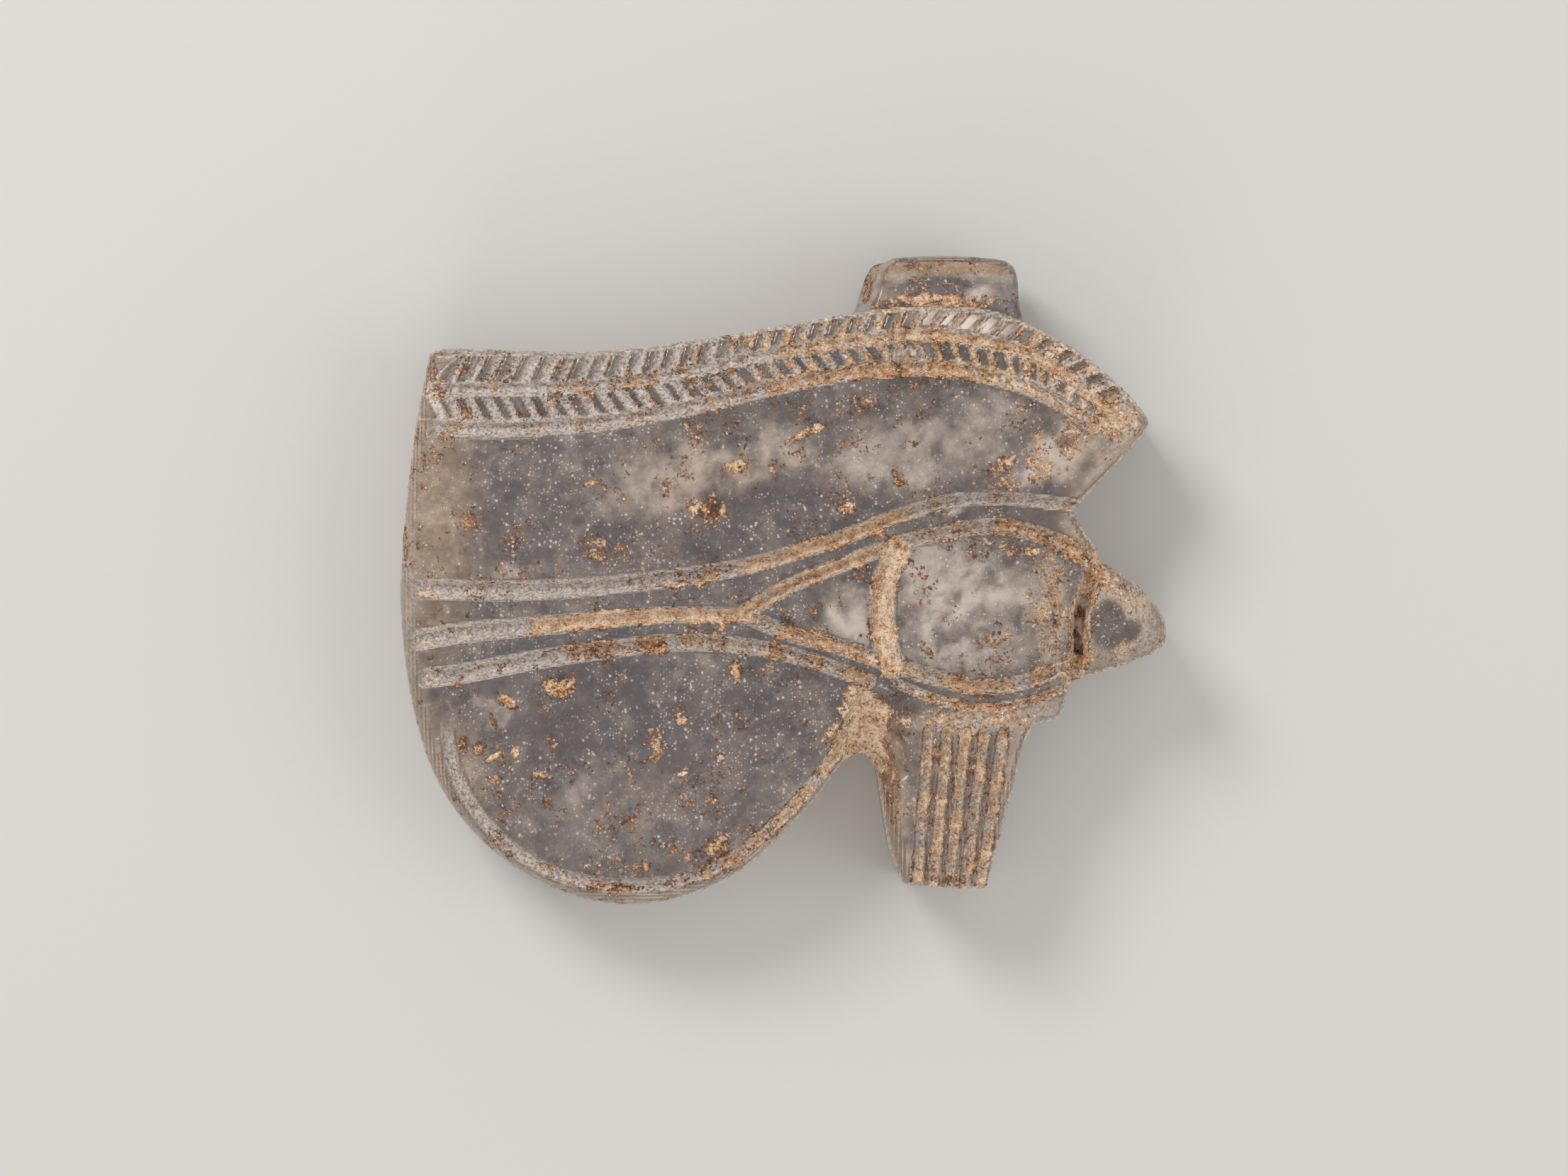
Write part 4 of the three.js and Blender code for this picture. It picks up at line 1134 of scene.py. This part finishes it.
def feed(tree, made, inputs):
    """Gives a node its inputs, by name or number: another socket is linked, a plain value is set."""
    for name, value in inputs.items():
        if isinstance(value, bpy.types.NodeSocket):
            tree.links.new(value, made.inputs[name])
        else:
            made.inputs[name].default_value = value


def node(tree, kind, inputs, **settings):
    """A shader node with its settings and inputs."""
    made = tree.nodes.new(kind)
    for name, value in settings.items():
        setattr(made, name, value)
    feed(tree, made, inputs)
    return made


def mix(tree, share, first, second):
    """One colour blended into another by a share."""
    pair = [value if isinstance(value, bpy.types.NodeSocket) else (*value, 1)
            for value in (first, second)]
    made = tree.nodes.new("ShaderNodeMix")
    made.data_type = "RGBA"
    feed(tree, made, {0: share, 6: pair[0], 7: pair[1]})
    return made.outputs[2]


def calc(tree, way, first, second=0.0, third=0.0):
    """A sum, product or other arithmetic of numbers or sockets."""
    return node(tree, "ShaderNodeMath", {0: first, 1: second, 2: third}, operation=way).outputs[0]


def ramp(tree, value, low, high, start=0.0, end=1.0):
    """A smooth change from start to end as the value goes from low to high."""
    limits = {"Value": value, "From Min": low, "From Max": high, "To Min": start, "To Max": end}
    made = node(tree, "ShaderNodeMapRange", limits, interpolation_type="SMOOTHSTEP")
    return made.outputs["Result"]


def vary(tree, value, uneven, strength):
    """A value made uneven by noise: plus the noise times the strength, less half the strength."""
    return calc(tree, "MULTIPLY_ADD", uneven, strength, calc(tree, "SUBTRACT", value, strength / 2))


def mask(tree, name):
    """A number that the mesh holds for each vertex."""
    return node(tree, "ShaderNodeAttribute", {}, attribute_name=name).outputs["Fac"]


def piece_place(tree):
    """The piece's own coordinates."""
    return node(tree, "ShaderNodeTexCoord", {}).outputs["Object"]


def grain_group():
    """Shared group: fine mineral grain. Noise as a tone, and scattered round pits as a mask."""
    made = bpy.data.node_groups.get("Mineral grain")
    if made:
        return made
    tree = bpy.data.node_groups.new("Mineral grain", "ShaderNodeTree")
    for name, kind in (("Vector", "Vector"), ("Scale", "Float"), ("Pits", "Float")):
        tree.interface.new_socket(name, in_out="INPUT", socket_type="NodeSocket" + kind)
    for name in ("Tone", "Pit"):
        tree.interface.new_socket(name, in_out="OUTPUT", socket_type="NodeSocketFloat")
    ins = tree.nodes.new("NodeGroupInput").outputs
    out = tree.nodes.new("NodeGroupOutput").inputs
    broad = node(tree, "ShaderNodeTexNoise", {
        "Vector": ins["Vector"], "Scale": ins["Scale"], "Detail": 1.0, "Roughness": 0.65,
    }).outputs["Fac"]
    wide = calc(tree, "MULTIPLY", ins["Scale"], 0.9)
    cells = node(tree, "ShaderNodeTexVoronoi", {"Vector": ins["Vector"], "Scale": wide}).outputs
    chance = node(tree, "ShaderNodeSeparateColor", {"Color": cells["Color"]}).outputs[0]
    picked = calc(tree, "LESS_THAN", chance, ins["Pits"])
    tree.links.new(broad, out["Tone"])
    tree.links.new(calc(tree, "MULTIPLY", picked, ramp(tree, cells["Distance"], 0.42, 0.12)), out["Pit"])
    return tree


def grain(tree, count, pits):
    """The shared mineral grain in a material: so many grains to a millimetre, and the share of
    them that are pits."""
    made = tree.nodes.new("ShaderNodeGroup")
    made.node_tree = grain_group()
    feed(tree, made, {"Vector": piece_place(tree), "Scale": count / MM, "Pits": pits})
    return made.outputs


def noise(tree, count, detail, rough=0.55):
    """Noise on the piece's own coordinates, with so many swells to a millimetre."""
    return node(tree, "ShaderNodeTexNoise", {
        "Vector": piece_place(tree), "Scale": count / MM, "Detail": detail, "Roughness": rough,
    }).outputs["Fac"]


def new_material(name):
    """An empty material with a surface shader, and its node tree."""
    made = bpy.data.materials.new(name)
    made.use_nodes = True
    tree = made.node_tree
    tree.nodes.clear()
    shader = tree.nodes.new("ShaderNodeBsdfPrincipled")
    out = tree.nodes.new("ShaderNodeOutputMaterial")
    tree.links.new(shader.outputs[0], out.inputs["Surface"])
    return made, tree, shader


def bump(tree, shader, height, distance):
    """Fine relief of the finish, its distance in millimetres."""
    made = node(tree, "ShaderNodeBump", {"Height": height, "Distance": distance * MM})
    tree.links.new(made.outputs[0], shader.inputs["Normal"])


def crystal_material():
    """Clear smoky stone, warm at its margins, cloudy in places, with painted highlights and painted
    shade laid in its colour, frosted where it is cut.
    """
    tones = colours()
    made, tree, shader = new_material("Rock crystal")
    dust = grain(tree, 9, 0.25)
    drift = noise(tree, 0.35, 4.0, 0.65)
    wisps = noise(tree, 1.1, 4.0, 0.74)
    tone = calc(tree, "ADD", calc(tree, "MULTIPLY", drift, 0.5), calc(tree, "MULTIPLY", wisps, 0.5))
    base = mix(tree, ramp(tree, tone, 0.4, 0.58), tones.smoke_and_shade, tones.stone)
    # painted shade: the stone turns darker where the mask of painted shade lies
    base = mix(tree, calc(tree, "MULTIPLY", mask(tree, "smoke_and_shade"), 0.75), base, tones.smoke_and_shade)
    base = mix(tree, ramp(tree, tone, 0.54, 0.68), base, tones.cloud_and_highlight)
    base = mix(tree, mask(tree, "warm"), base, tones.warm)
    # milky clouds and painted highlights, laid as pale colour
    base = mix(tree, mask(tree, "cloud_and_highlight"), base, tones.cloud_and_highlight)
    frost = mask(tree, "frost")
    ground = mix(tree, ramp(tree, dust["Tone"], 0.35, 0.65), tones.frost, tones.cloud_and_highlight)
    base = mix(tree, frost, base, ground)
    rough = calc(tree, "MULTIPLY_ADD", frost, 0.45, 0.07)
    rough = calc(tree, "MULTIPLY_ADD", ramp(tree, wisps, 0.45, 0.7), 0.15, rough)
    relief = calc(tree, "MULTIPLY", dust["Tone"], calc(tree, "MULTIPLY_ADD", frost, 0.9, 0.06))
    bump(tree, shader, relief, 0.03)
    feed(tree, shader, {"Base Color": base, "Roughness": rough})
    feed(tree, shader, {"Transmission Weight": tones.clear, "IOR": QUARTZ_IOR})
    return made


def frost_material():
    """The ground surface of the cuts: grey-white granules with bright specks, stained tan where the
    crust lies, open between."""
    tones = colours()
    made, tree, shader = new_material("Ground frost")
    grains = grain(tree, 5, 0.4)
    fine = noise(tree, 9, 1.0, 0.75)
    tone = calc(tree, "MULTIPLY_ADD", fine, 0.6, calc(tree, "MULTIPLY", grains["Tone"], 0.6))
    drift = noise(tree, 1.3, 3.0, 0.65)
    grey = mix(tree, ramp(tree, tone, 0.47, 0.7), tones.grit, tones.frost)
    tan = mix(tree, ramp(tree, tone, 0.5, 0.66), tones.ochre, tones.cream)
    tan = mix(tree, ramp(tree, tone, 0.52, 0.44, 0, 0.7), tan, tones.brown)
    stain = calc(tree, "ADD", ramp(tree, drift, 0.4, 0.62, -0.35, 0.35), mask(tree, "tan"))
    base = mix(tree, ramp(tree, stain, 0.15, 0.8), grey, tan)
    base = mix(tree, calc(tree, "MULTIPLY", grains["Pit"], 0.85), base, tones.cloud_and_highlight)
    cover = mask(tree, "cover")
    ground = calc(tree, "MULTIPLY", cover, ramp(tree, tone, 0.46, 0.62, 0.72, 0.96))
    ground = calc(tree, "MAXIMUM", ground, calc(tree, "MULTIPLY", grains["Pit"], cover))
    feed(tree, shader, {"Base Color": base, "Roughness": 0.65, "Alpha": ground})
    bump(tree, shader, calc(tree, "ADD", grains["Tone"], fine), 0.04)
    return made


def haze_material():
    """Haze on the open face: a soft film that thickens with the mesh's haze, which also lays the painted
    highlights as pale film, and two sizes of bright specks in drifts."""
    tones = colours()
    made, tree, shader = new_material("Surface haze")
    large = grain(tree, 4.4, 0.3)
    small = grain(tree, 8, 0.42)
    soft = noise(tree, 0.5, 3.0, 0.6)
    wisps = noise(tree, 1.6, 4.0, 0.72)
    thick = vary(tree, vary(tree, mask(tree, "haze"), soft, 0.6), wisps, 0.7)
    film = ramp(tree, thick, 0.0, 0.9, 0, 0.62)
    # the film grows nearly solid where the haze mask is highest: at the painted highlights and the
    # thickest clouds
    film = calc(tree, "MAXIMUM", film, ramp(tree, mask(tree, "haze"), 0.75, 1.0, 0, 0.85))
    where = ramp(tree, calc(tree, "MULTIPLY_ADD", soft, 0.6, wisps), 0.7, 0.86, 0.08, 1)
    spots = calc(tree, "MAXIMUM", large["Pit"], small["Pit"])
    spots = calc(tree, "MULTIPLY", spots, where)
    film = calc(tree, "MAXIMUM", film, calc(tree, "MULTIPLY", spots, 0.55))
    film = calc(tree, "MULTIPLY", film, mask(tree, "open"))
    base = mix(tree, calc(tree, "MULTIPLY", mask(tree, "warm"), 0.85), tones.cloud_and_highlight, tones.warm)
    base = mix(tree, ramp(tree, wisps, 0.5, 0.7, 0, 0.35), base, tones.cream)
    base = mix(tree, calc(tree, "MULTIPLY", mask(tree, "tan"), 0.8), base, tones.cream)
    base = mix(tree, ramp(tree, mask(tree, "tan"), 0.75, 1.0, 0, 0.8), base, tones.ochre)
    base = mix(tree, spots, base, tones.cloud_and_highlight)
    feed(tree, shader, {"Base Color": base, "Roughness": 0.4, "Alpha": film})
    return made


def crust_material():
    """Burial crust: cream to ochre grains that thin out into flecks, with brown edges and dark
    spots. The cover of the mesh plus fine noise says where it lies."""
    tones = colours()
    made, tree, shader = new_material("Burial crust")
    grains = grain(tree, 6, 0.45)
    broad = noise(tree, 2.2, 3.0, 0.78)
    small = noise(tree, 6, 2.0, 0.8)
    cover = vary(tree, vary(tree, mask(tree, "cover"), broad, 2.0), small, 2.2)
    spots = noise(tree, 1.9, 3.0, 0.8)
    tone = vary(tree, vary(tree, mask(tree, "tone"), spots, 2.4), small, 2.8)
    tone = calc(tree, "ADD", tone, ramp(tree, cover, 0.3, 0.06, 0, 0.4))
    base = mix(tree, ramp(tree, tone, 0.05, 0.65), tones.cream, tones.ochre)
    base = mix(tree, ramp(tree, tone, 0.65, 0.97), base, tones.brown)
    base = mix(tree, ramp(tree, tone, 0.99, 1.25), base, tones.dark)
    base = mix(tree, calc(tree, "MULTIPLY", grains["Pit"], 0.8), base, tones.cloud_and_highlight)
    feed(tree, shader, {"Base Color": base, "Roughness": 0.85, "Alpha": ramp(tree, cover, -0.05, 0.12)})
    bump(tree, shader, calc(tree, "MULTIPLY_ADD", small, 1.5, grains["Tone"]), 0.06)
    return made


def veil_material():
    """Milky veils inside the stone: soft clouds broken into wisps."""
    tones = colours()
    made, tree, shader = new_material("Inner veil")
    soft = noise(tree, 0.55, 3.0, 0.6)
    wisps = noise(tree, 1.5, 3.0, 0.7)
    thick = vary(tree, vary(tree, mask(tree, "cover"), soft, 1.6), wisps, 1.0)
    film = calc(tree, "MULTIPLY", ramp(tree, thick, 0.12, 0.95, 0, 0.8), mask(tree, "fade"))
    base = mix(tree, ramp(tree, soft, 0.45, 0.62), tones.cloud_and_highlight, tones.warm)
    feed(tree, shader, {"Base Color": base, "Roughness": 0.6, "Alpha": film})
    return made


def speck_material():
    """Bright and tan grains inside the stone."""
    tones = colours()
    made, tree, shader = new_material("Sealed speck")
    shade = noise(tree, 0.8, 2.0)
    base = mix(tree, ramp(tree, shade, 0.52, 0.62), tones.cloud_and_highlight, tones.ochre)
    feed(tree, shader, {"Base Color": base, "Roughness": 0.5})
    return made


class AMULET_OT_stone(bpy.types.Operator):
    """Make the carved stone with its pierced lug"""

    bl_idname = "amulet.stone"
    bl_label = "Rock crystal stone"

    def execute(self, context):
        """The bar of the bore is taken from the stone, and each point gets its stains."""
        face = current_face()
        points, faces = stone_surface(face)
        piece = make_piece("crystal_eye", points, faces, "the carved stone")
        lug = face.lug - face.middle
        height = LUG_CREST * HUNDREDTH - face.middle[1] - LUG_WALL - BORE_RADIUS
        depth = LUG_BACK + LUG_THICKNESS / 2
        start, end = (lug[:, 0].min() - 1, height, depth), (lug[:, 0].max() + 1, height, depth)
        bar = make_piece("bore", *tube(start, end, BORE_RADIUS, 48), "the bore's cutter")
        cutter = piece.modifiers.new("bore", "BOOLEAN")
        cutter.operation = "DIFFERENCE"
        cutter.object = bar
        cutter.solver = "MANIFOLD"
        whole = bpy.data.meshes.new_from_object(
            piece.evaluated_get(context.evaluated_depsgraph_get())
        )
        piece.modifiers.clear()
        if len(whole.polygons) < len(piece.data.polygons):
            raise RuntimeError("the bore could not be cut")
        bare = piece.data
        piece.data = whole
        whole.name = "crystal_eye"
        whole.materials.clear()
        whole.polygons.foreach_set("material_index", np.zeros(len(whole.polygons), np.int32))
        bpy.data.meshes.remove(bare)
        bpy.data.objects.remove(bar)
        whole.shade_smooth()
        whole.set_sharp_from_angle(angle=math.radians(SHARP_EDGE))
        flat = np.empty(3 * len(whole.vertices), np.float32)
        whole.vertices.foreach_get("co", flat)
        spots = flat.reshape(-1, 3) / MM
        x, y = spots[:, 0] + face.middle[0], spots[:, 1] + face.middle[1]
        on_face = smooth(spots[:, 2], 0.5, 2.5)
        for name in ("frost", "warm", "cloud_and_highlight", "smoke_and_shade"):
            values = face.sample(getattr(face, name), x, y)
            put_values(whole, name, values * (on_face if name == "frost" else 1))
        finish_piece(piece, crystal_material())
        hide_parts(STONE)
        return {"FINISHED"}


class AMULET_OT_frost(bpy.types.Operator):
    """Lay the frosted ground of the cuts"""

    bl_idname = "amulet.frost"
    bl_label = "Ground frost"

    def execute(self, context):
        """The film lies where there is more than a trace of frost. It rises smoothly from its thin
        edge to its full height."""
        face = current_face()
        level = np.where(face.used, face.frost - 0.1, -1)
        lift = sizes().frost_height * smooth(level, -0.1, 0.1)
        top, bottom = face.front + lift - FROST_DIP, face.front - SKIN_ROOT
        values = {"cover": smooth(face.frost, 0.08, 0.6), "tan": face.tan}
        make_film("ground_frost", "the frosted ground of the cuts",
                  skin_surface(face, level, top, bottom), values, frost_material())
        return {"FINISHED"}


class AMULET_OT_haze(bpy.types.Operator):
    """Lay the haze and bright specks of the open face"""

    bl_idname = "amulet.haze"
    bl_label = "Surface haze"

    def execute(self, context):
        """The film lies on the open face: outside the frosted cuts and the lug's foot."""
        face = current_face()
        level = np.where(face.used, face.open - 0.05, -1)
        top, bottom = face.front + FILM, face.front - SKIN_ROOT
        values = {"haze": face.haze, "warm": face.warm, "open": face.open, "tan": face.tan}
        make_film("surface_haze", "haze and specks on the open face",
                  skin_surface(face, level, top, bottom, 2), values, haze_material())
        return {"FINISHED"}


class AMULET_OT_crust(bpy.types.Operator):
    """Lay the burial crust in the cuts and on the face"""

    bl_idname = "amulet.crust"
    bl_label = "Burial crust"

    def execute(self, context):
        """The crust's height is the smooth rise of its level, times lumps of noise, plus a thin
        film. Its root goes into the stone, so that no gap shows below it."""
        face = current_face()
        level = np.where(face.used, face.crust, -1)
        lumps = fractal(face.x, face.y, 0.35, 3, SEED + 71)
        lift = sizes().crust_height * smooth(level, -0.05, 0.6) * (0.4 + 0.9 * lumps) + CRUST_FILM
        root = sizes().crust_root * smooth(level, -0.2, 0.2)
        top, bottom = face.front + lift, face.front - root
        make_film("burial_crust", "the burial crust",
                  skin_surface(face, level + CRUST_FRINGE, top, bottom),
                  {"tone": face.tone, "cover": level}, crust_material())
        return {"FINISHED"}


class AMULET_OT_veils(bpy.types.Operator):
    """Seal milky veils in the stone: thin waved sheets that follow the dome, one below the other"""

    bl_idname = "amulet.veils"
    bl_label = "Inner veils"

    def execute(self, context):
        """Each sheet is the dome less its depth and less a wave. It ends well inside the outline,
        and fades out towards its end."""
        face = current_face()
        points, faces, covers, fades = [], [], [], []
        offset = 0
        for number, depth in enumerate(VEIL_DEPTHS):
            wave = VEIL_WAVE * (fractal(face.x, face.y, 5, 2, SEED + 91 + 10 * number) - 0.5)
            inside = np.where(face.used, face.depth - 0.5 - 0.6 * depth, -1)
            top = face.dome - depth - np.abs(wave)
            sheet, sides, pick = skin_surface(face, inside, top, top - VEIL_THICKNESS, 2)
            points.append(sheet)
            faces += (np.array(sides) + offset).tolist()
            # veils are thicker under milky clouds and painted highlights, and thinner under painted
            # shade
            covers.append(pick(VEIL_ALL + 0.8 * face.cloud_and_highlight - 0.3 * face.smoke_and_shade))
            fades.append(smooth(pick(inside), 0, 0.8))
            offset += len(sheet)
        piece = make_piece("inner_veils", np.concatenate(points), faces, "veils in the stone")
        put_values(piece.data, "cover", np.concatenate(covers))
        put_values(piece.data, "fade", np.concatenate(fades))
        finish_piece(piece, veil_material())
        return {"FINISHED"}


class AMULET_OT_specks(bpy.types.Operator):
    """Scatter bright specks through the stone"""

    bl_idname = "amulet.specks"
    bl_label = "Sealed specks"

    def execute(self, context):
        """Places are drawn at random and kept in drifts where the stone is thick. Most specks lie
        near the face, and most are small: depth grows with the square of a random share, and size
        with its cube."""
        face = current_face()
        chance = np.random.default_rng(SEED + 6)
        count = sizes().speck_count
        low, high = face.ring.min(0), face.ring.max(0)
        x, y = [chance.uniform(low[i], high[i], 3 * count) for i in range(2)]
        deep = face.sample(np.where(face.used, face.front, 0), x, y)
        thick = fractal(x, y, 5, 2, SEED + 81)
        fits = chance.random(3 * count) < smooth(thick, 0.35, 0.6)
        fits &= (deep > SPECK_STONE) & (ring_gap(x, y, face.ring) > SPECK_GAP)
        x, y, deep = [values[fits][:count] for values in (x, y, deep)]
        z = deep - SPECK_SINK - chance.random(len(x)) ** 2 * (deep - 2 * SPECK_SINK)
        size = sizes().speck_size * (0.3 + 0.7 * chance.random(len(x)) ** 3)
        middle = np.stack([x - face.middle[0], y - face.middle[1], z], 1)
        reach = size[:, None, None] * chance.uniform(0.5, 1, (len(x), 6, 1))
        points = (middle[:, None] + SPECK_CORNERS * reach).reshape(-1, 3)
        faces = (SPECK_SIDES + 6 * np.arange(len(x))[:, None, None]).reshape(-1, 3)
        piece = make_piece("sealed_specks", points, faces.tolist(), "specks")
        finish_piece(piece, speck_material())
        return {"FINISHED"}


class AMULET_OT_stage(bpy.types.Operator):
    """Set the floor, the lights and the camera"""

    bl_idname = "amulet.stage"
    bl_label = "Stage"

    def execute(self, context):
        scene = context.scene
        corners = [(x * FLOOR_REACH, y * FLOOR_REACH, FLOOR_HEIGHT)
                   for x, y in ((-1, -1), (1, -1), (1, 1), (-1, 1))]
        floor = make_piece("floor", np.array(corners), [[0, 1, 2, 3]], "the floor")
        material, tree, shader = new_material("Pale floor")
        cloudy = noise(tree, 0.009, 2.0)
        shade = tuple(0.96 * value for value in colours().floor)
        base = mix(tree, cloudy, colours().floor, shade)
        feed(tree, shader, {"Base Color": base, "Roughness": 0.9})
        floor.data.materials.append(material)
        world = bpy.data.worlds.new("Studio")
        world.use_nodes = True
        sky = world.node_tree.nodes["Background"]
        feed(world.node_tree, sky, {"Color": SKY_COLOUR, "Strength": SKY_STRENGTH})
        scene.world = world
        scene.view_settings.view_transform = "Standard"
        scene.cycles.transparent_max_bounces = LAYERS_SEEN
        scene.cycles.max_bounces = TURNS_SEEN
        scene.cycles.diffuse_bounces = SCATTERS_SEEN
        for name, place, size, power, colour in LIGHTS:
            lamp = bpy.data.lights.new(name, "AREA")
            lamp.shape = "SQUARE"
            lamp.size = size * MM
            lamp.energy = power
            lamp.color = colour
            holder = bpy.data.objects.new(name, lamp)
            holder.location = Vector(place) * MM
            holder.rotation_euler = (-holder.location).to_track_quat("-Z", "Y").to_euler()
            scene.collection.objects.link(holder)
        view = bpy.data.cameras.new("camera")
        view.lens = CAMERA_LENS
        view.sensor_width = 36
        view.clip_start = 0.01
        camera = bpy.data.objects.new("camera", view)
        camera.location = Vector(CAMERA_PLACE) * MM
        scene.collection.objects.link(camera)
        scene.camera = camera
        return {"FINISHED"}


class AMULET_PT_panel(bpy.types.Panel):
    """Sizes, colours and steps of the amulet"""

    bl_label = "Amulet"
    bl_idname = "AMULET_PT_panel"
    bl_space_type = "VIEW_3D"
    bl_region_type = "UI"
    bl_category = "Amulet"

    def draw(self, context):
        for group in (context.scene.amulet_sizes, context.scene.amulet_colours):
            box = self.layout.box()
            for name in group.__annotations__:
                box.prop(group, name)
        for step in STEPS:
            self.layout.operator(step.bl_idname)


STEPS = (AMULET_OT_stage, AMULET_OT_stone, AMULET_OT_frost, AMULET_OT_haze, AMULET_OT_crust,
         AMULET_OT_veils, AMULET_OT_specks)
CLASSES = (AmuletSizes, AmuletColours, *STEPS, AMULET_PT_panel)


def register():
    for each in CLASSES:
        bpy.utils.register_class(each)
    bpy.types.Scene.amulet_sizes = bpy.props.PointerProperty(type=AmuletSizes)
    bpy.types.Scene.amulet_colours = bpy.props.PointerProperty(type=AmuletColours)


def unregister():
    del bpy.types.Scene.amulet_colours
    del bpy.types.Scene.amulet_sizes
    for each in reversed(CLASSES):
        bpy.utils.unregister_class(each)


def main():
    """Builds everything in order."""
    register()
    bpy.ops.amulet.stage()
    bpy.ops.amulet.stone()
    bpy.ops.amulet.frost()
    bpy.ops.amulet.haze()
    bpy.ops.amulet.crust()
    bpy.ops.amulet.veils()
    bpy.ops.amulet.specks()


if __name__ == "__main__":
    main()
